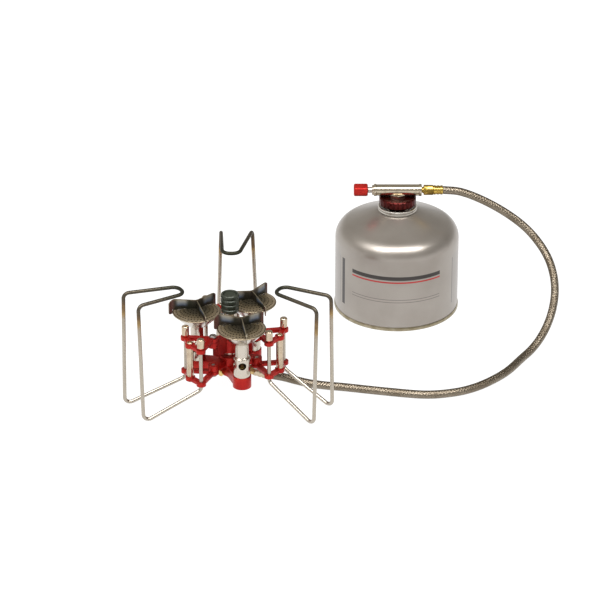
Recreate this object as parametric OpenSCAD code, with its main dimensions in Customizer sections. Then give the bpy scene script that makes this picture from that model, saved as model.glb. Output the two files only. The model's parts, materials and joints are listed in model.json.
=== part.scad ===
// Three-burner canister stove with swinging wire legs, a braided gas hose,
// a remote valve and a screw-on gas cartridge.
// Millimetres, +Z up. The ground is z = 0 and the origin lies under the middle of the manifold.

/* [Manifold] */
// Height of the underside of the manifold above the ground
hub_z = 18; // [17:0.5:22]
// Radius of the middle of the manifold
hub_r = 10.5; // [9.5:0.1:11.5]
// Depth of the burner cups on the manifold
cup_h = 10; // [9:0.5:12]
// Width of the manifold's arms
arm_w = 12; // [10:0.5:13]
// Thickness of the lugs that carry the leg pivots
lug_t = 5; // [4:0.5:6]
// Distance from the middle of the stove to each burner's axis
burner_r = 28.2; // [28:0.1:30]
// Distance from the middle of the stove to each leg's pivot
pivot_r = 22; // [21.5:0.1:22.5]
// Diameter of the central column at its neck
column_d = 11; // [10.4:0.1:11.4]

/* [Burners] */
// Diameter of the lower mixing sleeve
sleeve_d = 14; // [13:0.1:15]
// Height of the sleeve that shows above its cup
sleeve_h = 18.5; // [17:0.5:21]
// Diameter of the upper tube
tube_d = 10.8; // [10:0.1:11.4]
// Length of the upper tube
tube_h = 15; // [14:0.5:18]
// Wall of the sleeve and the tube
tube_wall = 0.8; // [0.6:0.1:1]
// Diameter of the air holes
air_d = 6.6; // [5:0.1:7]
// Diameter of the burner head's rim
bowl_d = 40.6; // [39:0.2:43.6]
// Height of the burner head's flared bowl
bowl_h = 9.7; // [9.5:0.1:12]
// Sheet thickness of the bowl
bowl_wall = 0.6; // [0.5:0.1:0.8]
// Rise of the perforated disc to its middle
dome = 2.3; // [1.5:0.1:3]
// Diameter of the flame holes
flame_hole_d = 1.2; // [1:0.1:1.6]
// Height of the windshield above the rim
shield_h = 10.8; // [7:0.2:11.4]
// Sheet thickness of the windshield
shield_t = 0.8; // [0.5:0.1:0.9]

/* [Legs] */
// Diameter of the leg wire
wire_d = 3.2; // [2.8:0.1:3.4]
// Height of the middle of the pot support wire
pot_z = 105; // [101:0.5:115]
// Distance from the pivot to the two posts, along the leg
pin_u = 18.6; // [18.2:0.1:20]
// Distance of each post from the leg's middle line
pin_v = 13.5; // [13:0.1:14.5]
// Distance from the pivot to the outer uprights, along the leg
foot_u = 68; // [60:0.5:76]
// Distance between the feet
foot_gap = 34.6; // [30:0.2:38]
// Distance between the outer uprights at the top
top_gap = 26.6; // [24:0.2:32]
// Sideways offset of the feet and the pot support
skew = 12.6; // [11:0.1:13.5]
// Distance from the pivot to the nose of the pot support
nose_u = 24.6; // [22:0.2:30]
// Bend radius at the nose
nose_bend = 7; // [5:0.2:8]
// Bend radius at the other corners
bend_r = 4.8; // [4:0.1:6]
// Thickness of the leg plates
plate_t = 3; // [2.5:0.1:3.5]
// Width of the leg plates' bars
bar_w = 4.4; // [4:0.1:5]
// Length of the spacer between the leg plates
spacer_l = 27.6; // [26:0.2:28]
// Diameter of the spacer
spacer_d = 6; // [5:0.1:7]
// Diameter of the end caps on the posts
cap_d = 6.2; // [5.6:0.1:6.4]

/* [Igniter] */
// Diameter of the ribbed collar
collar_d = 15; // [14:0.2:17]
// Height of the ribbed collar
collar_h = 14.3; // [13:0.1:16]
// Diameter of the push button
button_d = 10.4; // [9.6:0.1:10.8]
// Travel of the push button
button_travel = 3; // [2:0.1:3.5]

/* [Valve and hose] */
// Height of the valve's axis above the cartridge's own valve
valve_rise = 11.44; // [10.9:0.02:13]
// Diameter of the valve body
valve_d = 9.9; // [9.4:0.1:10.6]
// Length of the valve body
valve_l = 41.6; // [38:0.2:46]
// Diameter of the valve stem
stem_d = 4.9; // [4:0.1:5.4]
// Distance across the flats of the knob
knob_d = 10.4; // [9:0.2:14]
// Length of the knob
knob_l = 12.2; // [10:0.2:16]
// Diameter of the hose
hose_d = 7; // [6:0.2:7.4]
// Diameter of the crimped ferrules
crimp_d = 8.2; // [7.8:0.1:9]
// Diameter of the canister adapter
adapter_d = 32.2; // [30:0.2:34]
// Height of the canister adapter's collar
adapter_h = 6.6; // [6:0.1:7]

/* [Gas cartridge] */
// Diameter of the cartridge
can_d = 108; // [104:1:110]
// Height of the cartridge's straight side
can_side = 66; // [62:0.5:66.5]
// Radius of the cartridge's shoulder
can_shoulder = 16; // [13:0.5:17]
// Wall of the cartridge
can_wall = 0.6; // [0.4:0.1:0.8]
// Height of the rolled seam at the foot of the cartridge
seam_h = 3.6; // [3:0.2:4.4]

/* [Hidden] */
$fn = 48;

eps = 0.01;
bend_steps = 7;
wire_sides = 16;
// Clearance round a shaft that turns, round a piece that is held, and between faces that slide
run_gap = 0.08;
fit_gap = 0.04;
play = 0.3;

// Layout round the middle of the stove
REAR = 0;
LEFT = 1;
FRONT = 2;
RIGHT = 2;
burner_az = [50.6, 170.6, 290.6];
pivot_az = [110.6, 230.6, 350.6];
leg_az = [90.6, 209.6, 333.6];
shield_az = [55, 45, 34];
inlet_az = 7;
inlet_tilt = 22;

// Heights of the manifold, the leg plates and the spider
lug_z = hub_z + cup_h;
hub_top = lug_z + lug_t + 2;
lower_plate_z = lug_z - play - plate_t;
upper_plate_z = lug_z - play + spacer_l;
spider_top = upper_plate_z - play;
spider_h = 16;
spider_r = 9;
gallery_z = hub_z + 3.2;
gallery_d = 2.4;
inlet_d = 8;

// Heights of the burners
seat = 4;
sleeve_z = lug_z - seat;
sleeve_top = lug_z + sleeve_h;
tube_top = sleeve_top + tube_h;
rim_z = tube_top + bowl_h;
bowl_r = bowl_d / 2;
socket_h = 3;
screen_t = 0.5;
screen_r = bowl_r - 1;
screen_flat = 3;
lip = 0.8;
jet_d = 4.6;

// Central column and igniter
column_top = rim_z + 5.2;
column_bore = 8.6;
piezo_d = column_bore - 2 * fit_gap - 0.2;
piezo_l = 24;
piezo_top = column_top - 6;
button_r = button_d / 2;
collar_top = column_top + collar_h;
button_rise = 5;
electrode_r = 13;
electrode_d = 3;

// Leg geometry beside the pivot
pivot_d = 3;
lug_d = 9.2;
eye_d = 8;
rivet_d = 3;
knee_z = lower_plate_z - 4;
spacer_u = pin_u + 3;
cap_top = rim_z - 3.4;

// Gas cartridge and valve placement
can_x = 142.8;
can_y = 158.8;
can_r = can_d / 2;
neck_r = 16.2;
slope = 22;
shell_top_r = can_r - can_shoulder + can_shoulder * sin(slope);
shell_top_z = can_side + can_shoulder * cos(slope);
neck_z = shell_top_z + (shell_top_r - neck_r) * tan(slope);
cup_z = neck_z + 0.1;
cup_ring_h = 4.3;
cup_r = neck_r + 0.8;
thread_d = 11.1;
valve_top_z = cup_z + cup_ring_h + 2.6;
valve_z = valve_top_z + valve_rise;
valve_left = -valve_l / 2;
stem_bore_l = 16;
adapter_top = valve_z - valve_d / 2 - 0.4;
adapter_z = adapter_top - adapter_h;
fitting_x = valve_l / 2 + 1.6;
fitting_l = 8.4;
crimp_l = 8.4;
hose_start = [can_x + fitting_x + fitting_l + crimp_l, can_y, valve_z];

// The inlet leaves the manifold sloping down; the hose starts at its ferrule
inlet_dir = [cos(inlet_az) * cos(inlet_tilt), sin(inlet_az) * cos(inlet_tilt), -sin(inlet_tilt)];
inlet_root = [0, 0, hub_z + 7];
inlet_boss_l = 15;
inlet_nut_l = 6;
ferrule_l = 12;
hose_end = inlet_root + inlet_dir * (inlet_boss_l + inlet_nut_l + ferrule_l);

// Points that the hose lies along, from the valve to the stove
hose_lie = [
    [198, 158.8, 108.5], [217, 158, 101], [237, 157, 89.5], [254, 154, 77], [266, 148, 65],
    [274, 138, 54.5], [278, 125, 45], [278.6, 111, 36], [276, 97, 26.5], [271, 84, 18],
    [264, 72, 10.5], [256, 61, 5.6], [247, 48.5, 3.7], [234, 26.5, 3.7], [220, 10, 3.7],
    [204, -3.5, 3.7], [186, -12, 3.7], [162, -15.5, 3.7], [129, -10, 3.7], [96, -2.7, 3.7],
    [80, 0.2, 3.7], [66, 2.8, 4.4], [54, 4.4, 6.6], [43.5, 4.8, 9.4]];
hose_rings_per_point = 2;
hose_sides = 10;

// ---------- Helpers ----------

// Point at a distance from the middle of the stove, at an azimuth
function polar(r, az) = [r * cos(az), r * sin(az), 0];

function unit(v) = v / norm(v);

// Angle that a path a-b-c turns through at b
function turn(a, b, c) = acos(max(-1, min(1, unit(b - a) * unit(c - b))));

// Length that a bend at b takes off each of its two straights
function bend_len(a, b, c, radius) = radius * tan(turn(a, b, c) / 2);

// Lowest point of the centre line of a bend at b
function bend_low(a, b, c, radius) =
    let (along = unit(b - a), side = cross(unit(cross(along, unit(c - b))), along),
        centre = b - along * bend_len(a, b, c, radius) + side * radius)
    centre[2] - radius * norm([side[2], along[2]]);

// Rings along a path of straights and round bends: each is a point and a direction
function bend_rings(a, b, c, radius) =
    let (along = unit(b - a), side = cross(unit(cross(along, unit(c - b))), along),
        centre = b - along * bend_len(a, b, c, radius) + side * radius)
    [for (k = [0:bend_steps]) let (w = turn(a, b, c) * k / bend_steps)
        [centre + (along * sin(w) - side * cos(w)) * radius, along * cos(w) + side * sin(w)]];

function path_rings(points, radii) =
    let (last = len(points) - 1)
    concat([[points[0], unit(points[1] - points[0])]],
        [for (i = [1:last - 1])
            each bend_rings(points[i - 1], points[i], points[i + 1], radii[i - 1])],
        [[points[last], unit(points[last] - points[last - 1])]]);

// Round bar or tube through a list of rings; aside is never along the path
module swept_bar(rings, r, sides, aside) {
    n = len(rings);
    points = [for (ring = rings)
        let (side = unit(cross(aside, ring[1])), up = cross(ring[1], side))
        for (k = [0:sides - 1])
            let (a = k * 360 / sides + 90)
            ring[0] + (side * cos(a) + up * sin(a)) * r];
    walls = [for (i = [0:n - 2], k = [0:sides - 1])
        let (m = (k + 1) % sides, a = i * sides, b = a + sides)
        [a + k, b + k, b + m, a + m]];
    ends = [[for (k = [0:sides - 1]) k], [for (k = [sides - 1:-1:0]) (n - 1) * sides + k]];
    polyhedron(points = points, faces = concat(walls, ends), convexity = 8);
}

// Round bar bent along a list of points, with a radius for each inner corner
module bent_bar(points, radii, r) {
    swept_bar(path_rings(points, radii), r, wire_sides, [1, 1, 1]);
}

// Flat bar with round ends between two points
module flat_bar(p, q, w, t) {
    d = q - p;
    translate(p) cylinder(h = t, d = w);
    translate(q) cylinder(h = t, d = w);
    translate(p) rotate([0, 0, atan2(d[1], d[0])])
        translate([0, -w / 2, 0]) cube([norm(d), w, t]);
}

// Ring with a rectangular section
module ring(r_out, r_in, h) {
    difference() {
        cylinder(h = h, r = r_out);
        translate([0, 0, -1]) cylinder(h = h + 2, r = r_in);
    }
}

module at_burner(i) {
    translate(polar(burner_r, burner_az[i])) children();
}

module at_pivot(i) {
    translate(polar(pivot_r, pivot_az[i])) children();
}

module at_leg(i) {
    at_pivot(i) rotate([0, 0, leg_az[i]]) children();
}

module at_can() {
    translate([can_x, can_y, 0]) children();
}

// Valve frame: X runs along the valve, from the knob towards the hose
module at_valve() {
    translate([can_x, can_y, valve_z]) rotate([0, 90, 0]) children();
}

// ---------- Manifold ----------

// Star outline with rounded inner corners
module star_outline() {
    offset(r = -8, $fn = 24) offset(r = 8, $fn = 24) {
        circle(hub_r - 0.6, $fn = 24);
        for (az = burner_az) rotate([0, 0, az]) {
            translate([0, -arm_w / 2]) square([burner_r, arm_w]);
            translate([burner_r, 0]) circle(sleeve_d / 2 + 0.7, $fn = 36);
        }
    }
}

module inlet_axis(from) {
    translate(inlet_root + inlet_dir * from)
        rotate([0, 90 + inlet_tilt, inlet_az]) children();
}

module hub_block() color("firebrick") difference() {
    union() {
        translate([0, 0, hub_z]) linear_extrude(cup_h) star_outline();
        translate([0, 0, hub_z]) cylinder(h = hub_top - hub_z, r = hub_r);
        for (i = [0:2]) {
            at_pivot(i) translate([0, 0, lug_z]) cylinder(h = lug_t, d = lug_d);
            rotate([0, 0, pivot_az[i]]) translate([0, -4, lug_z]) cube([pivot_r - 3, 8, lug_t]);
        }
        inlet_axis(2) cylinder(h = inlet_boss_l - 2, d = inlet_d);
    }
    for (i = [0:2]) {
        at_burner(i) {
            translate([0, 0, sleeve_z]) cylinder(h = seat + 1, d = sleeve_d + 2 * fit_gap);
            translate([0, 0, gallery_z]) cylinder(h = cup_h, d = jet_d + 2 * fit_gap);
        }
        at_pivot(i) translate([0, 0, lug_z - 1]) cylinder(h = lug_t + 2, d = pivot_d + 2 * fit_gap);
        rotate([0, 0, burner_az[i]]) translate([0, 0, gallery_z])
            rotate([0, 90, 0]) cylinder(h = burner_r, d = gallery_d);
    }
    // Chamber in the middle, where the inlet and the three gas galleries meet
    translate([0, 0, gallery_z - chamber_d / 2])
        cylinder(h = inlet_root[2] + chamber_d / 2 + 0.6 - gallery_z, d = chamber_d);
    // Two galleries are drilled from the far side of the middle and plugged there
    for (i = plugged) rotate([0, 0, burner_az[i] + 180]) translate([0, 0, gallery_z])
        rotate([0, 90, 0]) {
            cylinder(h = hub_r + 2, d = gallery_d);
            translate([0, 0, hub_r - 3.5]) cylinder(h = 5.5, d = plug_shank_d + 2 * fit_gap);
        }
    inlet_axis(0) cylinder(h = inlet_boss_l + 1, d = gallery_d);
    inlet_axis(inlet_boss_l - 6) cylinder(h = 7, d = inlet_thread_d + 2 * fit_gap);
    translate([0, 0, hub_top - 8]) cylinder(h = 9, d = column_d - 2 + 2 * fit_gap);
}

plugged = [REAR, FRONT];
chamber_d = 4;
plug_shank_d = 4;
plug_head_d = 5.8;
inlet_thread_d = 5;

// Blanking plugs of the gas galleries
module channel_plugs() color("goldenrod") for (i = plugged)
    rotate([0, 0, burner_az[i] + 180]) translate([0, 0, gallery_z]) rotate([0, 90, 0]) {
        translate([0, 0, hub_r - 3]) cylinder(h = 4, d = plug_shank_d);
        translate([0, 0, hub_r + 0.6]) cylinder(h = 2.6, d = plug_head_d, $fn = 6);
    }

// Upper three-arm frame, on the shoulder of the column
module hub_spider() color("firebrick") difference() {
    union() {
        translate([0, 0, spider_top - spider_h]) cylinder(h = spider_h + 0.5, r = spider_r);
        for (i = [0:2]) {
            at_pivot(i) translate([0, 0, spider_top - lug_t]) cylinder(h = lug_t, d = lug_d);
            rotate([0, 0, pivot_az[i]]) translate([0, 3, spider_top]) rotate([90, 0, 0])
                linear_extrude(6) polygon([[0, 0], [pivot_r - 3, 0], [pivot_r - 3, -lug_t],
                    [spider_r + 0.7, 0.6 - spider_h], [0, 0.6 - spider_h]]);
        }
    }
    translate([0, 0, spider_top - spider_h - 1])
        cylinder(h = spider_h + 2, d = column_d + 2 * fit_gap);
    for (i = [0:2]) {
        at_pivot(i) translate([0, 0, spider_top - lug_t - 3])
            cylinder(h = lug_t + 4, d = pivot_d + 2 * fit_gap);
    }
    translate(polar(electrode_r, pivot_az[REAR])) translate([0, 0, spider_top - spider_h])
        cylinder(h = spider_h + 1, d = electrode_d + 2 * fit_gap);
}

// Hollow column: a wide foot carries the spider, the neck carries the igniter
module hub_column() color("silver") difference() {
    union() {
        translate([0, 0, hub_top - 8 + fit_gap]) cylinder(h = 8, d = column_d - 2);
        translate([0, 0, hub_top]) cylinder(h = spider_top - spider_h - hub_top, d = column_d + 2.4);
        translate([0, 0, hub_top]) cylinder(h = column_top - hub_top, d = column_d);
    }
    translate([0, 0, piezo_top - piezo_l - fit_gap])
        cylinder(h = column_top, d = column_bore);
    translate(polar(column_d / 2, pivot_az[REAR])) translate([0, 0, lead_z])
        rotate([0, -90, pivot_az[REAR]]) translate([0, 0, -1]) cylinder(h = 4, d = lead_hole_d);
}

// Two short pivot screws for each leg: one through each lug
module pivot_screws() color("darkgray") for (i = [0:2]) at_pivot(i) {
    translate([0, 0, lower_plate_z - play]) {
        translate([0, 0, -2]) cylinder(h = 2, d = 6);
        cylinder(h = lug_z + lug_t - lower_plate_z + play, d = pivot_d);
    }
    translate([0, 0, upper_plate_z + plate_t + play]) {
        cylinder(h = 2, d = 6);
        translate([0, 0, -2 * play - plate_t - lug_t - 1.5])
            cylinder(h = 2 * play + plate_t + lug_t + 1.5 + eps, d = pivot_d);
    }
}

// ---------- Burners ----------

// Brass jets, screwed up through the floor of each cup
module gas_jets() color("goldenrod") for (i = [0:2]) at_burner(i) difference() {
    union() {
        translate([0, 0, gallery_z + gallery_d / 2]) cylinder(h = lug_z - gallery_z, d = jet_d);
        translate([0, 0, sleeve_z + fit_gap]) cylinder(h = 4, d = 7.4, $fn = 6);
        translate([0, 0, lug_z + 1]) cylinder(h = sleeve_h * 0.35, d = 4);
        translate([0, 0, lug_z + 1 + sleeve_h * 0.35]) cylinder(h = 1.4, d = 2.6);
    }
    translate([0, 0, gallery_z]) cylinder(h = lug_z + sleeve_h - gallery_z, d = 0.8);
}

// Stepped mixing tube with four air holes; turned is the azimuth of the first
module burner_tube(i) color("gainsboro") at_burner(i) difference() {
    union() {
        translate([0, 0, sleeve_z]) cylinder(h = sleeve_top - sleeve_z - 1.4, d = sleeve_d);
        translate([0, 0, sleeve_top - 1.4 - eps])
            cylinder(h = 1.4 + eps, d1 = sleeve_d, d2 = tube_d);
        translate([0, 0, sleeve_z]) cylinder(h = tube_top - sleeve_z, d = tube_d);
    }
    translate([0, 0, sleeve_z - 1])
        cylinder(h = sleeve_top - 1.4 - tube_wall - sleeve_z + 1, d = sleeve_d - 2 * tube_wall);
    translate([0, 0, sleeve_z]) cylinder(h = tube_top, d = tube_d - 2 * tube_wall);
    for (a = [0:90:270])
        rotate([0, 0, burner_az[i] - 16 + a]) translate([0, 0, lug_z + 11.6])
            rotate([0, 90, 0]) cylinder(h = sleeve_d, d = air_d);
}

// Flared bowl with a rolled rim; its thick throat is held on the top of the tube
module burner_bowl(i) color("lightgray") at_burner(i) rotate_extrude($fn = 64) {
    inner = tube_d / 2 + fit_gap;
    low = tube_top - socket_h;
    belly_r = (inner + bowl_wall + screen_r) / 2;
    belly_z = low + (rim_z - low) * 0.36;
    polygon([
        [inner, low], [inner + bowl_wall, low], [belly_r, belly_z],
        [screen_r, rim_z - lip - 0.2], [bowl_r, rim_z - lip], [bowl_r, rim_z + lip - 0.2],
        [bowl_r - 0.3, rim_z + lip], [screen_r + fit_gap, rim_z + lip],
        [screen_r + fit_gap, rim_z - lip + bowl_wall],
        [belly_r - 0.3, belly_z + bowl_wall + 0.2],
        [inner + 1.5, tube_top + 0.6], [inner, tube_top + 0.6]]);
}

// Height of the screen's upper face at radius r
function screen_z(r) = rim_z + lip / 2 + dome * (screen_r - r) / (screen_r - screen_flat);

flame_rings = [9, 13, 17];

// Domed disc with rings of flame holes
module burner_screen(i) color("darkkhaki") at_burner(i) difference() {
    rotate_extrude($fn = 64) polygon([
        [0, screen_z(screen_flat) - screen_t], [screen_flat, screen_z(screen_flat) - screen_t],
        [screen_r, screen_z(screen_r) - screen_t], [screen_r, screen_z(screen_r)],
        [screen_flat, screen_z(screen_flat)], [0, screen_z(screen_flat)]]);
    for (r = flame_rings, k = [0:round(2 * PI * r / 4) - 1])
        rotate([0, 0, k * 360 / round(2 * PI * r / 4)]) translate([r, 0, screen_z(r) - 2])
            cylinder(h = 4, d = flame_hole_d);
}

shield_arms = [0, 129, 248];
shield_out = 1.4;
tab_drop = 3;
flange_w = 3;

// Upright sheet from the middle of the head to just past its rim
module shield_arm(low) {
    reach = bowl_r + shield_out;
    foot = screen_z(screen_r) + 0.1;
    top = rim_z + shield_h;
    hook = bowl_r + 0.15;
    end_top = low ? rim_z + shield_h * 0.38 : top - 2.2;
    tab = rim_z - (low ? 3.8 : tab_drop);
    translate([0, shield_t / 2, 0]) rotate([90, 0, 0]) linear_extrude(shield_t)
        polygon([[0, screen_z(screen_flat) + 0.1], [screen_flat, screen_z(screen_flat) + 0.1],
            [screen_r, foot], [screen_r + 0.1, rim_z + lip + 0.1], [hook, rim_z + lip + 0.1],
            [hook, tab], [reach, tab], [reach, end_top],
            [reach - 0.9, low ? end_top + 0.3 : top - 0.6],
            [reach - 2.6, low ? end_top + 0.8 : top],
            [0, top]]);
}

module windshield(i) color("darkslategray") at_burner(i) rotate([0, 0, shield_az[i]]) {
    for (k = [0:2]) rotate([0, 0, shield_arms[k]]) shield_arm(k == 2);
    // Turned-out ends of the two tall arms
    for (k = [0:1]) rotate([0, 0, shield_arms[k]])
        translate([bowl_r + shield_out - shield_t / 2, 0, rim_z - tab_drop])
            rotate([0, 0, 60 - 8 * k]) translate([0, -shield_t / 2, 0])
                cube([flange_w, shield_t, shield_h + tab_drop - 2.6]);
}

// ---------- Igniter ----------

lead_z = tube_top + 1;
lead_d = 1.4;
lead_hole_d = 3.2;

// Piezo unit, closed in the column
module igniter_body() color("dimgray") translate([0, 0, piezo_top - piezo_l]) {
    cylinder(h = piezo_l, d = piezo_d);
    cylinder(h = piezo_l + 2, d = 3.4);
}

// Ribbed collar on the column's head; its well holds the button
module igniter_collar() color("darkolivegreen") difference() {
    translate([0, 0, column_top - 2]) cylinder(h = collar_top - column_top + 2, d = collar_d);
    translate([0, 0, column_top - 3]) cylinder(h = 3 + fit_gap, d = column_d + 2 * fit_gap);
    translate([0, 0, column_top - 1]) cylinder(h = collar_h + 2, d = button_d + 2 * play);
    for (k = [0:2]) translate([0, 0, collar_top - 4.3 * (k + 1)])
        ring(collar_d, collar_d / 2 - 0.7, 0.8);
}

// Coil spring between the piezo unit and the button
module igniter_spring() color("silver")
    translate([0, 0, piezo_top + 0.3])
        linear_extrude(height = collar_top - button_rise - piezo_top - 0.6, twist = -360 * 6,
                slices = 90, $fn = 6)
            translate([3.1, 0]) circle(0.35);

// Dished push button with its plunger
module igniter_button() color("black") difference() {
    union() {
        translate([0, 0, collar_top - button_rise]) cylinder(h = button_rise - 0.8, d = button_d);
        translate([0, 0, piezo_top + 2 + button_travel + 0.3])
            cylinder(h = collar_top - button_rise - piezo_top - 2 - button_travel, d = 3.4);
    }
    translate([0, 0, collar_top - 1.4]) cylinder(h = 2, r1 = button_r - 2.2, r2 = button_r + 0.6);
}

// Insulated lead from the column to the electrode
module spark_lead() color("black") {
    dir = polar(1, pivot_az[REAR]);
    start = dir * (piezo_d / 2 + 0.2) + [0, 0, lead_z];
    stop = dir * (electrode_r - electrode_d / 2 - play) + [0, 0, lead_z];
    middle = (start + stop) / 2 + [0, 0, -1.6];
    bent_bar([start, middle, stop], [3], lead_d / 2);
}

// Ceramic insulator with its spark wire
module spark_electrode() translate(polar(electrode_r, pivot_az[REAR])) {
    color("white") translate([0, 0, spider_top - lug_t]) cylinder(h = rim_z - spider_top + lug_t + 4,
        d = electrode_d);
    color("gray") bent_bar([[0, 0, rim_z + 3], [0, 0, rim_z + 8],
        polar(4, burner_az[REAR]) + [0, 0, rim_z + 8.6]], [1.5], 0.5);
}

// ---------- Legs ----------

// Corners on one side of the loop: side is -1 for the first post and 1 for the other
function knee_at(side) = [pin_u, side * pin_v, knee_z];
function foot_at(side, z) = [foot_u, side * foot_gap / 2 - skew, z];
function top_at(side) = [foot_u + 0.4, side * top_gap / 2 - skew, pot_z];

// Height of the foot's corner at which the rounded foot just stands on the ground
function foot_z(side, z, steps) = steps == 0 ? z
    : foot_z(side, z + wire_d / 2
        - bend_low(knee_at(side), foot_at(side, z), top_at(side), bend_r), steps - 1);

// Points of the bent wire, from the inner post, round the loop, to the other post
leg_path = [
    [pin_u, -pin_v, cap_top - 1.2],
    knee_at(-1),
    foot_at(-1, foot_z(-1, 0, 4)),
    top_at(-1),
    [nose_u, -skew + 4.8 - nose_bend, pot_z],
    [nose_u, -skew + 4.8 + nose_bend, pot_z],
    top_at(1),
    foot_at(1, foot_z(1, 0, 4)),
    knee_at(1),
    [pin_u, pin_v, cap_top - 1.2]];
nose_r = nose_bend - 0.1;
leg_radii = [bend_r, bend_r, bend_r, nose_r, nose_r, bend_r, bend_r, bend_r];

pin_a = [pin_u, -pin_v, 0];
pin_b = [spacer_u, 0, 0];
pin_c = [pin_u, pin_v, 0];

module leg_wire(i) color("rosybrown") at_leg(i) bent_bar(leg_path, leg_radii, wire_d / 2);

// Open triangular plate with an eye for the pivot, each post and the spacer
module leg_plate(i, z) color("firebrick") at_leg(i) translate([0, 0, z]) difference() {
    union() {
        flat_bar([0, 0, 0], pin_a, bar_w, plate_t);
        flat_bar([0, 0, 0], pin_c, bar_w, plate_t);
        flat_bar(pin_a, pin_b, bar_w, plate_t);
        flat_bar(pin_b, pin_c, bar_w, plate_t);
        cylinder(h = plate_t, d = lug_d);
        for (p = [pin_a, pin_b, pin_c]) translate(p) cylinder(h = plate_t, d = eye_d);
    }
    translate([0, 0, -1]) {
        cylinder(h = plate_t + 2, d = pivot_d + 2 * run_gap);
        for (p = [pin_a, pin_c]) translate(p) cylinder(h = plate_t + 2, d = wire_d + 2 * fit_gap);
        translate(pin_b) cylinder(h = plate_t + 2, d = rivet_d + 2 * fit_gap);
    }
}

// Spacer with riveted ends between the two plates
module leg_spacer(i) color("wheat") at_leg(i) translate(pin_b) {
    low = lower_plate_z + plate_t;
    translate([0, 0, low]) cylinder(h = upper_plate_z - low, d = spacer_d);
    translate([0, 0, lower_plate_z - 1.4])
        cylinder(h = upper_plate_z - lower_plate_z + plate_t + 2.8, d = rivet_d);
    translate([0, 0, lower_plate_z - 1.4]) cylinder(h = 1.4, d = rivet_d + 2);
    translate([0, 0, upper_plate_z + plate_t]) cylinder(h = 1.4, d = rivet_d + 2);
}

// Turned caps on the ends of the leg wire, tapered towards the plate
module leg_caps(i) color("silver") at_leg(i) for (p = [pin_a, pin_c]) translate(p) {
    low = upper_plate_z + plate_t;
    taper = 1.8;
    difference() {
        union() {
            translate([0, 0, low]) cylinder(h = taper, d1 = wire_d + 1.2, d2 = cap_d);
            translate([0, 0, low + taper]) cylinder(h = cap_top - low - taper - 0.5, d = cap_d);
            translate([0, 0, cap_top - 0.5 - eps])
                cylinder(h = 0.5 + eps, d1 = cap_d, d2 = cap_d - 1);
        }
        translate([0, 0, low - 1])
            cylinder(h = cap_top - 1.2 - low + 1 + fit_gap, d = wire_d + 2 * fit_gap);
    }
}

// ---------- Inlet and hose ----------

// Hexagon nipple screwed into the manifold
module inlet_fitting() color("goldenrod") {
    inlet_axis(inlet_boss_l - 5) difference() {
        cylinder(h = 5 + eps, d = inlet_thread_d);
        translate([0, 0, -1]) cylinder(h = 8, d = 1.6);
    }
    inlet_axis(inlet_boss_l) difference() {
        cylinder(h = inlet_nut_l, d = 7.6, $fn = 6);
        translate([0, 0, -1]) cylinder(h = inlet_nut_l + 2, d = 1.6);
    }
}

module inlet_ferrule() color("silver") inlet_axis(inlet_boss_l + inlet_nut_l)
    ferrule(ferrule_l);

// Crimped sleeve with two rolled grooves
module ferrule(length) difference() {
    cylinder(h = length, d = crimp_d);
    for (k = [1, 2]) translate([0, 0, k * length / 3 - 0.5])
        ring(crimp_d, crimp_d / 2 - 0.35, 1);
    translate([0, 0, -1]) cylinder(h = length + 2, d = 1.6);
}

// Point on a smooth curve through four points, between the middle two
function catmull(a, b, c, d, t) = 0.5 * (2 * b + (c - a) * t
    + (2 * a - 5 * b + 4 * c - d) * t * t + (3 * b - a - 3 * c + d) * t * t * t);

hose_points = concat([hose_start], hose_lie, [hose_end]);
hose_last = len(hose_points) - 1;
function hose_at(i) = i < 0 ? 2 * hose_points[0] - hose_points[1]
    : i > hose_last ? 2 * hose_points[hose_last] - hose_points[hose_last - 1]
    : hose_points[i];
hose_line = [for (i = [0:hose_last - 1], k = [0:hose_rings_per_point - 1])
    catmull(hose_at(i - 1), hose_at(i), hose_at(i + 1), hose_at(i + 2), k / hose_rings_per_point)];
hose_rings = concat(hose_line, [hose_points[hose_last]]);

// Direction of the hose at a ring
function hose_dir(i) = i == 0 ? [1, 0, 0]
    : i == len(hose_rings) - 1 ? -inlet_dir
    : unit(hose_rings[i + 1] - hose_rings[i - 1]);

module gas_hose() color("darkgray") swept_bar(
    [for (i = [0:len(hose_rings) - 1]) [hose_rings[i], hose_dir(i)]],
    hose_d / 2, hose_sides, [0, 0, 1]);

module hose_crimp() color("goldenrod") at_valve()
    translate([0, 0, fitting_x + fitting_l]) ferrule(crimp_l);

// Brass union between the valve and the hose
module hose_fitting() color("goldenrod") at_valve() difference() {
    union() {
        translate([0, 0, fitting_x - 4.6]) cylinder(h = 4.6 + eps, d = 5);
        translate([0, 0, fitting_x]) cylinder(h = fitting_l, d = 9, $fn = 6);
    }
    translate([0, 0, fitting_x - 6]) cylinder(h = fitting_l + 8, d = 1.6);
}

// ---------- Remote valve ----------

module valve_body() color("tan") at_valve() difference() {
    union() {
        translate([0, 0, valve_left]) cylinder(h = valve_l, d = valve_d);
        for (z = [valve_left, valve_l / 2 - 2.4]) translate([0, 0, z])
            cylinder(h = 2.4, d = valve_d + 0.8);
    }
    translate([0, 0, valve_left - 1]) cylinder(h = stem_bore_l + 1, d = stem_d + 2.6);
    translate([0, 0, valve_left]) cylinder(h = valve_l + 1, d = 2.2);
    translate([0, 0, valve_l / 2 - 3.2]) cylinder(h = 4, d = 5 + 2 * fit_gap);
    // Gas way down to the cartridge
    rotate([0, 90, 0]) cylinder(h = valve_d, d = 3);
}

// Screwed gland that closes the valve body round the stem
module stem_gland() color("silver") at_valve() translate([0, 0, valve_left - 1.6]) difference() {
    union() {
        cylinder(h = 1.6, d = valve_d - 1.2);
        cylinder(h = 7, d = stem_d + 2.6 - 2 * fit_gap);
    }
    translate([0, 0, -1]) cylinder(h = 9, d = stem_d + 2 * run_gap);
}

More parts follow.
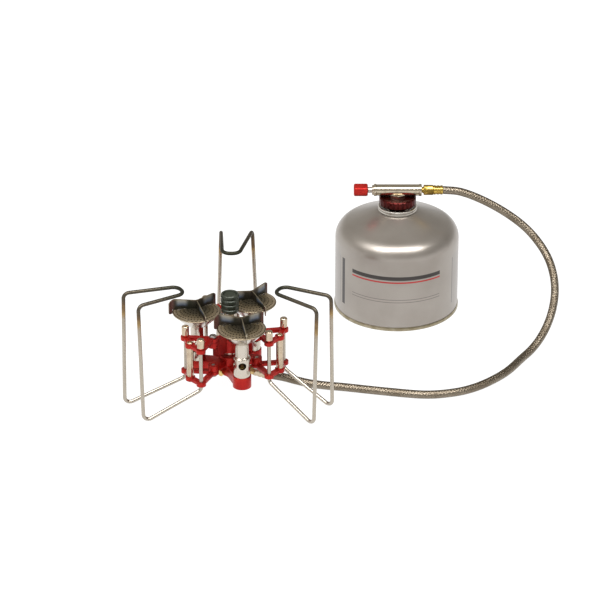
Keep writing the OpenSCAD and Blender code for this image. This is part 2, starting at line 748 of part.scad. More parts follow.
// O-rings round the inner end of the stem
module stem_seals() color("black") at_valve() for (z = [7.4, 9.2])
    translate([0, 0, valve_left + z]) rotate_extrude() translate([stem_d / 2 + 0.6, 0])
        circle(0.5);

// Stem with a needle point that closes the gas way
module valve_stem() color("silver") at_valve() {
    translate([0, 0, valve_left - 7]) cylinder(h = 19, d = stem_d);
    translate([0, 0, valve_left + 12 - eps]) cylinder(h = 3, d1 = stem_d, d2 = 1.2);
}

// Six-sided knob with turned corners
module valve_knob() color("crimson") at_valve() translate([0, 0, valve_left - 5.2 - knob_l])
    difference() {
        intersection() {
            rotate([0, 0, 27]) cylinder(h = knob_l, d = knob_d / cos(30), $fn = 6);
            rotate_extrude() polygon([[0, 0], [knob_d / 2 - 0.6, 0], [knob_d / 2 + 0.5, 1],
                [knob_d / 2 + 0.5, knob_l - 1], [knob_d / 2 - 0.6, knob_l], [0, knob_l]]);
        }
        translate([0, 0, knob_l - 1.8 - fit_gap]) cylinder(h = 3, d = stem_d + 2 * fit_gap);
    }

// Collar that screws down on the cartridge's thread
module adapter_collar() color("maroon") at_can() difference() {
    union() {
        translate([0, 0, adapter_z]) cylinder(h = adapter_h - 1, d = adapter_d);
        translate([0, 0, adapter_z + adapter_h - 1 - eps])
            cylinder(h = 1 + eps, d1 = adapter_d, d2 = adapter_d - 2);
        translate([0, 0, adapter_z - 5]) cylinder(h = 5 + eps, d = thread_d + 7);
    }
    translate([0, 0, adapter_z - 6])
        cylinder(h = valve_top_z - adapter_z + 6 + 1.4, d = thread_d + 2 * run_gap);
    translate([0, 0, adapter_z]) cylinder(h = adapter_h + 1, d = 4 + 2 * fit_gap);
    for (k = [0:23]) rotate([0, 0, k * 15]) translate([adapter_d / 2 + 0.5, 0, adapter_z - 1])
        cylinder(h = adapter_h + 2, d = 2.2);
}

// Hexagon boss between the collar and the valve body
module adapter_boss() color("silver") at_can() difference() {
    translate([0, 0, adapter_top]) cylinder(h = 2.6, d = 14.4, $fn = 6);
    translate([0, 0, valve_z]) rotate([0, 90, 0])
        cylinder(h = valve_l, d = valve_d + 2 * fit_gap, center = true);
    translate([0, 0, adapter_top - 1]) cylinder(h = 6, d = 3);
}

// Pin that opens the cartridge's valve
module pin_depressor() color("silver") at_can() difference() {
    union() {
        translate([0, 0, valve_top_z + 0.3]) cylinder(h = adapter_top - valve_top_z - 0.6, d = 4);
        translate([0, 0, valve_top_z + 0.3 - 2.2]) cylinder(h = 2.3, d = 1.6);
    }
    translate([0, 0, valve_top_z + 1.4]) cylinder(h = 8, d = 1.2);
}

// Seal that the cartridge's valve presses on
module canister_seal() color("black") at_can() translate([0, 0, valve_top_z + 0.7])
    rotate_extrude() translate([thread_d / 2 - 1.6, 0]) circle(0.6);

// ---------- Gas cartridge ----------

// Drawn shell: straight side, round shoulder and a slope to the neck
module canister_shell() color("lightgray") at_can() rotate_extrude($fn = 96) {
    difference() {
        shell_outline(0);
        shell_outline(can_wall);
        translate([-1, -1]) square([neck_r - 0.9, 200]);
    }
}

// Outline of the shell, moved inwards by inset
module shell_outline(inset) {
    side_z = seam_h + fit_gap;
    shoulder = can_shoulder - inset;
    cx = can_r - can_shoulder;
    low = inset > 0 ? side_z - 1 : side_z;
    tip = [cx + shoulder * sin(slope), can_side + shoulder * cos(slope)];
    polygon(concat([[0, low], [can_r - inset, low]],
        [for (a = [0:8.5:68]) [cx + shoulder * cos(a), can_side + shoulder * sin(a)]],
        [[0, tip[1] + tip[0] * tan(slope)]]));
}

// Bottom: double seam and a plate that is domed upwards
module canister_base() color("gray") at_can() rotate_extrude($fn = 96) {
    rise = 9;
    polygon([[can_r - 2, 0], [can_r + 0.4, 0], [can_r + 0.7, 0.6],
        [can_r + 0.7, seam_h - 0.8], [can_r + 0.2, seam_h], [can_r - 2, seam_h],
        [can_r - 6, 3.4 + can_wall], [can_r * 0.6, rise - 2 + can_wall], [0, rise + can_wall],
        [0, rise], [can_r * 0.6, rise - 2], [can_r - 6, 3.4], [can_r - 3, 1.4]]);
}

// Crimped cup that holds the valve
module canister_valve_cup() color("silver") at_can() rotate_extrude($fn = 64)
    difference() {
        union() {
            translate([cup_r - 3.4, cup_z]) square([3.4, cup_ring_h - 1]);
            translate([cup_r - 2.9, cup_z + cup_ring_h - 1.4]) square([2.4, 1.4]);
            translate([cup_r - 0.5, cup_z + cup_ring_h - 0.9]) circle(0.5, $fn = 16);
            translate([cup_r - 3.4, cup_z - 2.6]) square([0.6, 4]);
            translate([thread_d / 2 + fit_gap, cup_z - 2.6])
                square([cup_r - 3.4 + 0.3 - thread_d / 2, 0.6]);
        }
        translate([cup_r - 2.8, cup_z - 1]) square([2.2, cup_ring_h - 0.6]);
    }

// Threaded cartridge valve with its own stem and sealing face
module canister_valve() color("silver") at_can() difference() {
    union() {
        translate([0, 0, cup_z - 6]) cylinder(h = valve_top_z - cup_z + 6, d = thread_d);
        translate([0, 0, cup_z - 6]) cylinder(h = 3, d = thread_d + 3);
    }
    translate([0, 0, valve_top_z - 2.6]) cylinder(h = 4, d = 3);
}

// ---------- Assembly ----------

hub_block();
hub_spider();
hub_column();
channel_plugs();
pivot_screws();
gas_jets();
burner_tube(REAR);  // rear_burner_tube
burner_tube(LEFT);  // left_burner_tube
burner_tube(FRONT);  // front_burner_tube
burner_bowl(REAR);  // rear_burner_bowl
burner_bowl(LEFT);  // left_burner_bowl
burner_bowl(FRONT);  // front_burner_bowl
burner_screen(REAR);  // rear_burner_screen
burner_screen(LEFT);  // left_burner_screen
burner_screen(FRONT);  // front_burner_screen
windshield(REAR);  // rear_windshield
windshield(LEFT);  // left_windshield
windshield(FRONT);  // front_windshield
igniter_body();
igniter_collar();
igniter_spring();
igniter_button();
spark_lead();
spark_electrode();
leg_wire(LEFT);  // left_leg_wire
leg_plate(LEFT, upper_plate_z);  // left_leg_upper_plate
leg_plate(LEFT, lower_plate_z);  // left_leg_lower_plate
leg_spacer(LEFT);  // left_leg_spacer
leg_caps(LEFT);  // left_leg_caps
leg_wire(RIGHT);  // right_leg_wire
leg_plate(RIGHT, upper_plate_z);  // right_leg_upper_plate
leg_plate(RIGHT, lower_plate_z);  // right_leg_lower_plate
leg_spacer(RIGHT);  // right_leg_spacer
leg_caps(RIGHT);  // right_leg_caps
leg_wire(REAR);  // rear_leg_wire
leg_plate(REAR, upper_plate_z);  // rear_leg_upper_plate
leg_plate(REAR, lower_plate_z);  // rear_leg_lower_plate
leg_spacer(REAR);  // rear_leg_spacer
leg_caps(REAR);  // rear_leg_caps
inlet_fitting();
inlet_ferrule();
gas_hose();
hose_crimp();
hose_fitting();
valve_body();
stem_gland();
stem_seals();
valve_stem();
valve_knob();
adapter_collar();
adapter_boss();
pin_depressor();
canister_seal();
canister_shell();
canister_base();
canister_valve_cup();
canister_valve();
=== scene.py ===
"""Looks of the three-burner canister stove, its hose, valve and gas cartridge.

Lengths in the shape functions are millimetres; MM turns them into the frame's metres.
"""
import json
import math

import bpy
import numpy as np
from mathutils import Matrix, Vector


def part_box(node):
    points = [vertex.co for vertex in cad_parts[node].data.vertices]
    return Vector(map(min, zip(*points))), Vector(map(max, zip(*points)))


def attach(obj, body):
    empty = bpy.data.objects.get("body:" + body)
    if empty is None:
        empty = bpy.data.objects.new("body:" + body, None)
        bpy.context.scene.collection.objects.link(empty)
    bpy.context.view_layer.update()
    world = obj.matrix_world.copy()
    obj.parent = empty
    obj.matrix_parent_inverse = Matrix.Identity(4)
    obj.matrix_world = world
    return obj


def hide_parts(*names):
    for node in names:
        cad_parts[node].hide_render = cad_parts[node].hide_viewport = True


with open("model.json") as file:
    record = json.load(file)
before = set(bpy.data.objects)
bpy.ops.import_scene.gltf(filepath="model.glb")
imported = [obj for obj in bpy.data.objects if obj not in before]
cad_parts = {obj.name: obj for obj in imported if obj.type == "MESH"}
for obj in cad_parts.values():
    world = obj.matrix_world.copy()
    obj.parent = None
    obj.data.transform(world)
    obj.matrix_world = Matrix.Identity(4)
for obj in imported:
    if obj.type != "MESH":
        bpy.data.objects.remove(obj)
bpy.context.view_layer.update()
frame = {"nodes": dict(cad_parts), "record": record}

MM = 0.001
BURNERS = ("rear", "left", "front")
LEGS = ("rear", "left", "right")
RECORD = frame["record"]
BODY_OF = {node: body for body, nodes in RECORD["behaviour"]["bodies"].items() for node in nodes}
SLOT_OF = {part["node"]: part["material_slot"] for part in RECORD["subparts"]}


def middle(node):
    """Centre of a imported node's box, in millimetres."""
    low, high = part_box(node)
    return (low + high) / 2 / MM


def low_of(node):
    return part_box(node)[0][2] / MM


def high_of(node):
    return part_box(node)[1][2] / MM


# ---------------------------------------------------------------- camera, lights and floor

CAMERA_PLACE = (0.05792, -2.2898, 1.2582)
CAMERA_DOWN = 62.86
CAMERA_LENS = 186.7


def set_camera():
    bpy.ops.object.camera_add(location=CAMERA_PLACE, rotation=(math.radians(CAMERA_DOWN), 0, 0))
    camera = bpy.context.object
    camera.data.lens = CAMERA_LENS
    bpy.context.scene.camera = camera


set_camera()


# ---------------------------------------------------------------- shader maths

class Value:
    """One socket of a node tree. Python's operators on it add Math nodes."""

    def __init__(self, tree, socket):
        self.tree = tree
        self.socket = socket

    def math(self, operation, *others, clamp=False):
        return node(self.tree, "Math", {"operation": operation, "use_clamp": clamp},
                    {i: other for i, other in enumerate((self, *others))})

    def __add__(self, other):
        return self.math("ADD", other)

    __radd__ = __add__

    def __mul__(self, other):
        return self.math("MULTIPLY", other)

    __rmul__ = __mul__

    def __sub__(self, other):
        return self.math("SUBTRACT", other)

    def __rsub__(self, other):
        return self.math("MULTIPLY_ADD", -1.0, other)

    def __truediv__(self, other):
        return self.math("DIVIDE", other)

    def __gt__(self, other):
        return self.math("GREATER_THAN", other)

    def __lt__(self, other):
        return self.math("LESS_THAN", other)


def node(tree, kind, settings=None, inputs=None, output=0):
    """Adds a node: its settings first, then the values or links of its sockets."""
    made = tree.nodes.new("ShaderNode" + kind)
    for key, setting in (settings or {}).items():
        if key == "stops":
            ramp = made.color_ramp.elements
            while len(ramp) < len(setting):
                ramp.new(0.5)
            for stop, (place, colour) in zip(ramp, setting):
                stop.position = place
                stop.color = (*colour, 1)
        else:
            setattr(made, key, setting)
    for key, value in (inputs or {}).items():
        if isinstance(value, Value):
            tree.links.new(value.socket, made.inputs[key])
        else:
            made.inputs[key].default_value = value
    return Value(tree, made.outputs[output])


class Finish:
    """A material under construction, with the few patterns that the finishes share."""

    def __init__(self, name, **constants):
        self.material = bpy.data.materials.new(name)
        self.material.use_nodes = True
        self.tree = self.material.node_tree
        self.shader = self.tree.nodes["Principled BSDF"]
        for key, constant in constants.items():
            self.shader.inputs[key.replace("_", " ").title().replace("Ior", "IOR")].default_value = constant
        self.place = self.node("TexCoord", output=3)

    def node(self, kind, settings=None, inputs=None, output=0):
        return node(self.tree, kind, settings, inputs, output)

    def vary(self, **links):
        """Links values to the shader's own sockets."""
        for key, value in links.items():
            socket = self.shader.inputs[key.replace("_", " ").title()]
            self.tree.links.new(value.socket, socket)
        return self

    def centred(self, x, y):
        """Object coordinates with their origin on an upright axis, in metres."""
        return self.node("Mapping", {"vector_type": "POINT"},
                         {"Vector": self.place, "Location": (-x * MM, -y * MM, 0)})

    def split(self, vector):
        return [self.node("SeparateXYZ", None, {"Vector": vector}, i) for i in range(3)]

    def noise(self, size, vector=None, detail=3.0, rough=0.5, stretch=(1, 1, 1)):
        """Noise from 0 to 1 whose patches are about size millimetres across."""
        vector = vector or self.place
        if stretch != (1, 1, 1):
            vector = self.node("Mapping", {"vector_type": "POINT"},
                               {"Vector": vector, "Scale": stretch})
        return self.node("TexNoise", None, {"Vector": vector, "Scale": 1 / (size * MM),
                                            "Detail": detail, "Roughness": rough})

    def ramp(self, value, *stops):
        return self.node("ValToRGB", {"stops": stops}, {"Fac": value})

    def between(self, value, low, high):
        """0 below low, 1 above high, smooth in between."""
        return self.node("MapRange", {"interpolation_type": "SMOOTHSTEP"},
                         {"Value": value, "From Min": low, "From Max": high})

    def mix(self, factor, a, b):
        return self.node("Mix", {"data_type": "RGBA"},
                         {0: factor, 6: a if isinstance(a, Value) else (*a, 1),
                          7: b if isinstance(b, Value) else (*b, 1)}, output=2)

    def bump(self, height, depth, strength=1.0):
        """Relief of depth millimetres."""
        made = self.node("Bump", None, {"Height": height, "Distance": depth * MM,
                                        "Strength": strength})
        return self.vary(normal=made)


# ---------------------------------------------------------------- finishes

def turned_lines(finish, height, pitch=0.5):
    """Fine tool marks: noise that changes along a height value only, in metres."""
    at = finish.node("CombineXYZ", None, {"X": 0.0, "Y": 0.0, "Z": height})
    return finish.noise(pitch, at, detail=4.0, rough=0.65)


def ring_distance(finish, x, y):
    """Distance from an upright axis, in millimetres, and the height in millimetres."""
    across, along, up = finish.split(finish.centred(x, y) if x or y else finish.place)
    flat = finish.node("CombineXYZ", None, {"X": across, "Y": along, "Z": 0.0})
    reach = finish.node("VectorMath", {"operation": "LENGTH"}, {0: flat}, output=1)
    return reach * (1 / MM), up * (1 / MM)


def red_anodised():
    """Bright red anodising on blasted aluminium, a little worn and handled."""
    f = Finish("red_anodised", metallic=0.6, coat_roughness=0.3, specular_ior_level=0.25)
    cloud = f.noise(9, detail=4.0)
    grain = f.noise(0.22, detail=2.0)
    tone = f.mix(f.between(cloud, 0.35, 0.68), (0.34, 0.009, 0.007), (0.43, 0.020, 0.012))
    rubbed = f.between(f.noise(1.6, detail=6.0, rough=0.7), 0.66, 0.74) * 0.35
    tone = f.mix(rubbed, tone, (0.62, 0.12, 0.08))
    f.vary(base_color=tone, roughness=0.30 + 0.12 * cloud + 0.10 * grain,
           coat_weight=0.08 - 0.07 * rubbed)
    return f.bump(grain, 0.02, 0.5).material


def wine_anodised():
    """Deep wine red, glossy, on the turned and grooved adapter."""
    x, y, _ = middle("adapter_collar")
    f = Finish("wine_anodised", metallic=0.9, coat_weight=0.08, coat_roughness=0.08)
    _, up = ring_distance(f, x, y)
    marks = turned_lines(f, up * MM, 0.3)
    cloud = f.noise(6)
    tone = f.mix(f.between(cloud, 0.3, 0.7), (0.036, 0.003, 0.002), (0.078, 0.006, 0.004))
    f.vary(base_color=tone, roughness=0.16 + 0.14 * marks)
    return f.bump(marks, 0.02, 0.5).material


def turned_alloy(name, x, y, colour=(0.64, 0.58, 0.50)):
    """Satin turned aluminium with fine rings round its own upright axis."""
    f = Finish(name, metallic=1.0)
    reach, up = ring_distance(f, x, y)
    marks = turned_lines(f, (up + reach * 0.6) * MM, 0.25)
    wide = turned_lines(f, up * MM, 2.2)
    stain = f.between(f.noise(5, detail=5.0, rough=0.6), 0.45, 0.75)
    dull = tuple(c * 0.84 for c in colour)
    tone = f.mix(marks * 0.5 + 0.25, dull, colour)
    tone = f.mix(stain * 0.25, tone, (0.48, 0.40, 0.32))
    f.vary(base_color=tone, roughness=0.11 + 0.10 * marks + 0.06 * wide + 0.08 * stain)
    return f.bump(marks, 0.012, 0.6).material


def leg_steel(name):
    """Drawn steel wire: bare low down, straw and brown higher up, sooty round the pot support."""
    f = Finish(name, metallic=0.95)
    reach, up = ring_distance(f, 0, 0)
    patch = f.noise(14, detail=4.0) - 0.5
    heat = (up - 62 + patch * 22) / 46
    nose = f.between(reach + patch * 10, 78, 44) * f.between(up, 96, 101)
    tone = f.ramp(heat, (0.0, (0.44, 0.395, 0.33)), (0.42, (0.37, 0.32, 0.255)),
                  (0.56, (0.33, 0.225, 0.105)), (0.68, (0.165, 0.105, 0.058)),
                  (0.80, (0.110, 0.088, 0.063)), (1.0, (0.090, 0.077, 0.057)))
    tone = f.mix(nose, tone, (0.043, 0.043, 0.031))
    soot = f.between(f.noise(2.2, detail=6.0, rough=0.7), 0.52, 0.72)
    cool = f.between(heat, 0.75, 0.45)
    tone = f.mix(soot * (0.55 - 0.45 * cool), tone, (0.05, 0.05, 0.042))
    scratch = f.noise(0.5, detail=3.0, stretch=(1, 1, 0.08))
    f.vary(base_color=tone, roughness=0.20 + 0.18 * (1 - cool) + 0.12 * scratch + 0.10 * nose)
    return f.bump(scratch + soot * 0.5, 0.015, 0.5).material


def spun_bowl(name, x, y, rim_z):
    """Spun steel bowl: bright below, straw to brown at the rolled rim, with painted shade, near black, on
    its inner wall under the disc.
    """
    f = Finish(name, metallic=1.0)
    reach, up = ring_distance(f, x, y)
    marks = turned_lines(f, (reach + up * 0.5) * MM, 0.3)
    patch = f.noise(7, detail=4.0) - 0.5
    hot = f.between(up + patch * 1.4, rim_z - 1.6, rim_z + 0.4)
    facing = f.split(f.node("TexCoord", output=1))[2]
    # inside: the upward-facing inner wall under the pierced disc, painted near black and rough as shade.
    inside = f.between(facing, 0.02, 0.2) * f.between(reach, 19.2, 18.9)
    bright = f.mix(marks, (0.54, 0.50, 0.445), (0.66, 0.62, 0.56))
    tone = f.mix(hot, bright, (0.38, 0.31, 0.215))
    tone = f.mix(inside, tone, (0.012, 0.011, 0.008))
    f.vary(base_color=tone, roughness=0.13 + 0.12 * marks + 0.08 * hot + 0.5 * inside)
    return f.bump(marks, 0.012, 0.6).material


def burner_plate(name, x, y):
    """Pierced steel disc: sandy at the edge, olive further in, near black in the middle, where the dark is
    painted shade among the windshield arms.
    """
    f = Finish(name, metallic=0.45)
    reach, _ = ring_distance(f, x, y)
    patch = f.noise(5, detail=5.0, rough=0.6) - 0.5
    heat = (reach + patch * 8) / 19.5
    # The lowest stops paint shade: the middle of the disc, among the windshield arms, goes near black.
    tone = f.ramp(heat, (0.0, (0.013, 0.012, 0.008)), (0.40, (0.026, 0.021, 0.011)),
                  (0.62, (0.085, 0.064, 0.033)), (0.82, (0.175, 0.133, 0.078)),
                  (1.0, (0.28, 0.22, 0.15)))
    fine = f.noise(0.35, detail=3.0)
    f.vary(base_color=f.mix(fine * 0.35, tone, (0.10, 0.08, 0.05)),
           roughness=0.34 + 0.22 * fine)
    return f.bump(fine, 0.03, 0.5).material


def blued_sheet(name, x, y, rim_z):
    """Heat-blued windshield: black middle, grey-blue bloom on the arms, plum and brown ends."""
    f = Finish(name, metallic=0.35, specular_ior_level=0.2)
    reach, up = ring_distance(f, x, y)
    patch = f.noise(6, detail=4.0) - 0.5
    broad = f.noise(13, detail=2.0) - 0.5
    r = reach + patch * 5
    high = up - rim_z + patch * 3
    dark = f.mix(f.between(broad, -0.15, 0.2), (0.019, 0.019, 0.012), (0.032, 0.024, 0.017))
    bloom = f.between(r, 6.0, 10.5) * f.between(r, 19.0, 15.0) * f.between(high, 3.6, 6.4)
    blue = f.ramp((high - 3.4) / 7, (0.0, (0.035, 0.055, 0.11)), (0.4, (0.11, 0.13, 0.165)),
                  (1.0, (0.27, 0.245, 0.19)))
    tone = f.mix(bloom * 0.9, dark, blue)
    plum = f.between(r, 18.0, 21.5)
    tone = f.mix(plum * 0.8, tone, (0.105, 0.040, 0.034))
    straw = f.between(high, 9.2, 11.2) * 0.55
    tone = f.mix(straw, tone, (0.17, 0.12, 0.07))
    fine = f.noise(0.4, detail=3.0)
    f.vary(base_color=tone, roughness=0.24 + 0.16 * fine + 0.10 * (1 - bloom))
    return f.bump(fine, 0.02, 0.4).material


def olive_black():
    """Black anodising with an olive cast, on the ribbed collar and its button."""
    f = Finish("olive_black", metallic=0.35)
    reach, up = ring_distance(f, 0, 0)
    marks = turned_lines(f, (up + reach) * MM, 0.3)
    dust = f.between(f.noise(2.5, detail=6.0, rough=0.7), 0.5, 0.8)
    tone = f.mix(dust * 0.5, (0.030, 0.036, 0.025), (0.085, 0.085, 0.062))
    f.vary(base_color=tone, roughness=0.28 + 0.14 * marks + 0.1 * dust)
    return f.bump(marks, 0.02, 0.6).material


def plated(name, colour, darker, rough=0.16, along="X", pitch=0.35):
    """Plated or brass fitting with faint tool marks along one axis of the frame."""
    f = Finish(name, metallic=1.0)
    axis = {"X": 0, "Y": 1, "Z": 2}[along]
    marks = turned_lines(f, f.split(f.place)[axis], pitch)
    stain = f.between(f.noise(3.5, detail=5.0, rough=0.6), 0.4, 0.75)
    tone = f.mix(stain * 0.7, colour, darker)
    f.vary(base_color=tone, roughness=rough + 0.12 * marks + 0.08 * stain)
    return f.bump(marks, 0.010, 0.5).material


def cartridge_lacquer():
    """Silver lacquer with a plain printed band: charcoal and red stripes and pale side panels."""
    x, y, _ = middle("canister_shell")
    f = Finish("cartridge_lacquer", metallic=0.8, coat_weight=0.2, coat_roughness=0.15)
    across, along, up = f.split(f.centred(x, y))
    height = up * (1 / MM)
    angle = across.math("ARCTAN2", along * -1.0) * (180 / math.pi)
    fleck = f.noise(0.16, detail=2.0)
    cloud = f.noise(30, detail=3.0)
    silver = f.mix(f.between(cloud, 0.3, 0.7), (0.325, 0.293, 0.262), (0.37, 0.338, 0.305))
    silver = f.mix(fleck * 0.35, silver, (0.24, 0.215, 0.19))

    def within(value, low, high, soft=0.12):
        return f.between(value, low - soft, low + soft) * f.between(value, high + soft, high - soft)

    front = within(angle, -47.0, 42.0, 0.3)
    printed = [
        (within(height, 49.0, 52.6) * front, (0.030, 0.026, 0.026)),
        (within(height, 46.2, 47.6) * front, (0.42, 0.018, 0.022)),
        (within(height, 30.0, 30.5) * front, (0.14, 0.12, 0.12)),
        (within(height, 27.6, 28.1) * front, (0.14, 0.12, 0.12)),
        (within(height, 14.0, 58.0) * within(angle, -62.5, -58.0, 0.12), (0.045, 0.040, 0.040)),
        (within(height, 14.0, 58.0) * within(angle, -66.4, -65.9, 0.12), (0.16, 0.15, 0.15)),
        (within(height, 14.0, 58.0) * within(angle, 61.0, 62.2, 0.12), (0.16, 0.15, 0.15)),
    ]
    side = (angle < -66.0) + (angle > 62.0)
    tone = f.mix(side * within(height, 12.0, 60.0, 0.2) * 0.22, silver, (0.28, 0.27, 0.28))
    for mask, ink in printed:
        tone = f.mix(mask * 0.92, tone, ink)
    f.vary(base_color=tone, roughness=0.29 + 0.06 * fleck + 0.05 * cloud)
    return f.bump(fleck, 0.006, 0.4).material


def seam_tinplate():
    """Gold-lacquered tinplate of the rolled seam and the base."""
    f = Finish("seam_tinplate", metallic=0.95)
    cloud = f.noise(8, detail=4.0)
    grain = f.noise(0.4, detail=2.0)
    tone = f.mix(f.between(cloud, 0.35, 0.65), (0.26, 0.22, 0.14), (0.37, 0.325, 0.235))
    f.vary(base_color=tone, roughness=0.26 + 0.12 * grain)
    return f.bump(grain, 0.01, 0.4).material


def plain_black(name, colour=(0.02, 0.02, 0.02), rough=0.45):
    """Rubber or moulded plastic with a fine grain."""
    f = Finish(name, metallic=0.0)
    grain = f.noise(0.3, detail=3.0)
    tone = f.mix(grain * 0.5, colour, tuple(min(1, c * 2 + 0.01) for c in colour))
    f.vary(base_color=tone, roughness=rough + 0.15 * grain)
    return f.bump(grain, 0.02, 0.4).material


def white_ceramic():
    """Glazed insulator, faintly stained."""
    f = Finish("white_ceramic", coat_weight=0.5, coat_roughness=0.1)
    stain = f.between(f.noise(3, detail=4.0), 0.45, 0.8)
    tone = f.mix(stain * 0.6, (0.80, 0.775, 0.72), (0.50, 0.42, 0.32))
    f.vary(base_color=tone, roughness=0.22 + 0.2 * stain)
    return f.bump(stain, 0.01, 0.4).material


def braid_bundle(phase):
    """One set of braid bundles: its number, its rounded body and its single wires."""
    number = phase.math("FLOOR")
    across = phase - number - 0.5
    body = 1 - (across.math("ABSOLUTE") * 2.1).math("POWER", 3.0)
    wires = ((across + 0.5) * (math.pi * WIRES)).math("SINE").math("ABSOLUTE")
    return number, body, wires


def steel_braid():
    """Stainless braid on its own UV map, which counts the bundles along and round the hose."""
    f = Finish("steel_braid", metallic=1.0)
    along, around, _ = f.split(f.node("UVMap", {"uv_map": "braid"}))
    right, right_body, right_wires = braid_bundle(around + along)
    left, left_body, left_wires = braid_bundle(around - along)
    over = ((right - left) * (math.pi / 2) - math.pi / 4).math("COSINE") > 0.0
    right_high = right_body * (0.45 + 0.55 * over)
    left_high = left_body * (1 - 0.55 * over)
    on_top = right_high > left_high
    height = right_high.math("MAXIMUM", left_high)
    wires = left_wires + on_top * (right_wires - left_wires)
    grime = f.between(f.noise(16, detail=4.0), 0.35, 0.7)
    # low: near-black painted shade in the hollows of the weave and on bundles where they pass under; grime
    # only varies the tones.
    low = f.mix(grime, (0.040, 0.029, 0.018), (0.026, 0.019, 0.012))
    high = f.mix(grime, (0.36, 0.305, 0.235), (0.27, 0.22, 0.16))
    tone = f.mix(f.between(height, 0.30, 0.92), low, high)
    # The dark lines between single wires are painted shade in their creases.
    tone = f.mix(f.between(wires, 0.55, 0.0) * 0.6, tone, (0.10, 0.08, 0.06))
    f.vary(base_color=tone, roughness=0.22 + 0.14 * grime)
    return f.bump(height * 0.6 + wires * 0.4, 0.16, 0.7).material


# ---------------------------------------------------------------- modelling helpers

def deselect():
    if bpy.context.object and bpy.context.object.mode != "OBJECT":
        bpy.ops.object.mode_set(mode="OBJECT")
    bpy.ops.object.select_all(action="DESELECT")


def only(piece):
    deselect()
    piece.select_set(True)
    bpy.context.view_layer.objects.active = piece
    return piece


def opened(piece):
    """The piece in edit mode, with all of it selected."""
    only(piece)
    bpy.ops.object.mode_set(mode="EDIT")
    bpy.ops.mesh.select_all(action="SELECT")
    return piece


def seat(piece, place=None):
    """Puts the piece's place into its mesh."""
    only(piece)
    if place is not None:
        piece.matrix_world = place
    bpy.ops.object.transform_apply(location=True, rotation=True, scale=True)
    return piece


def smooth(piece, angle=35):
    only(piece)
    bpy.ops.object.shade_smooth_by_angle(angle=math.radians(angle))
    return piece


def modify(piece, kind, **settings):
    only(piece)
    modifier = piece.modifiers.new(kind.title(), kind)
    for key, value in settings.items():
        setattr(modifier, key, value)
    bpy.ops.object.modifier_apply(modifier=modifier.name)
    return piece


def break_edges(piece, width, segments=2, angle=35):
    """Small round on every sharp edge, then smooth shading."""
    modify(piece, "BEVEL", width=width * MM, segments=segments, limit_method="ANGLE",
           angle_limit=math.radians(angle), use_clamp_overlap=True)
    return smooth(piece, angle)


def spot(x, y, z, turn=0.0, tilt=0.0):
    """Place of a piece: its own Z axis tilted from upright, then turned round it."""
    return (Matrix.Translation(Vector((x, y, z)) * MM)
            @ Matrix.Rotation(math.radians(turn), 4, "Z") @ Matrix.Rotation(math.radians(tilt), 4, "Y"))


def polar(reach, azimuth, aside=0.0):
    """Ground-plan point at a reach along a direction, and aside to the left of it."""
    c, s = math.cos(math.radians(azimuth)), math.sin(math.radians(azimuth))
    return reach * c - aside * s, reach * s + aside * c


def arc(centre, radius, start, stop, steps):
    offsets = [polar(radius, start + (stop - start) * k / steps) for k in range(steps + 1)]
    return [(centre[0] + x, centre[1] + y) for x, y in offsets]


def rounded(profile, radius):
    """The profile with a small round at each inner corner, three points to a round."""
    made = [profile[0]]
    for before, corner, after in zip(profile, profile[1:], profile[2:]):
        a, b, c = (Vector(p) for p in (before, corner, after))
        reach = min(radius, (a - b).length * 0.45, (c - b).length * 0.45)
        start, stop = b + (a - b).normalized() * reach, b + (c - b).normalized() * reach
        made += [tuple(start), tuple((start + stop) / 4 + b / 2), tuple(stop)]
    return made + [profile[-1]]


def drawn_line(name, points):
    """A new mesh, left in edit mode, with a line drawn point by point."""
    deselect()
    bpy.ops.mesh.primitive_plane_add(size=MM)
    piece = bpy.context.object
    piece.name = name
    bpy.ops.object.mode_set(mode="EDIT")
    bpy.ops.mesh.select_mode(type="VERT")
    bpy.ops.mesh.select_all(action="SELECT")
    bpy.ops.mesh.merge(type="CENTER")
    at = Vector(points[0])
    bpy.ops.transform.translate(value=at * MM)
    for point in points[1:]:
        step = Vector(point) - at
        bpy.ops.mesh.extrude_vertices_move(TRANSFORM_OT_translate={"value": step * MM})
        at += step
    bpy.ops.mesh.select_all(action="SELECT")
    return piece


def turned(name, profile, sides=64, edge=0.15, place=None):
    """A turned piece: (radius, height) points swept round the Z axis by Spin."""
    points = rounded(profile, edge) if edge else profile
    piece = drawn_line(name, [(r, 0, h) for r, h in points])
    bpy.ops.mesh.spin(steps=sides, angle=math.tau, center=(0, 0, 0), axis=(0, 0, 1))
    bpy.ops.mesh.select_all(action="SELECT")
    bpy.ops.mesh.remove_doubles(threshold=0.002 * MM)
    bpy.ops.mesh.normals_make_consistent(inside=False)
    bpy.ops.object.mode_set(mode="OBJECT")
    return smooth(seat(piece, place), 40)


def prism(sides, width, low, high, x=0, y=0):
    """Upright bar between two heights, round or with flats width apart."""
    deselect()
    radius = width / 2 if sides > 12 else width / 2 / math.cos(math.pi / sides)
    bpy.ops.mesh.primitive_cylinder_add(vertices=sides, radius=radius * MM, depth=(high - low) * MM,
                                        location=(x * MM, y * MM, (high + low) / 2 * MM))
    return seat(bpy.context.object)


def bar(p, q, width, low, high):
    """Flat bar between two points of the ground plan."""
    deselect()
    run = Vector(q) - Vector(p)
    bpy.ops.mesh.primitive_cube_add(size=1)
    piece = bpy.context.object
    piece.scale = (run.length * MM, width * MM, (high - low) * MM)
    piece.rotation_euler = (0, 0, math.atan2(run.y, run.x))
    piece.location = Vector(((p[0] + q[0]) / 2, (p[1] + q[1]) / 2, (low + high) / 2)) * MM
    return seat(piece)


def join(pieces, name):
    deselect()
    for piece in pieces:
        piece.select_set(True)
    bpy.context.view_layer.objects.active = pieces[0]
    if len(pieces) > 1:
        bpy.ops.object.join()
    pieces[0].name = name
    return pieces[0]


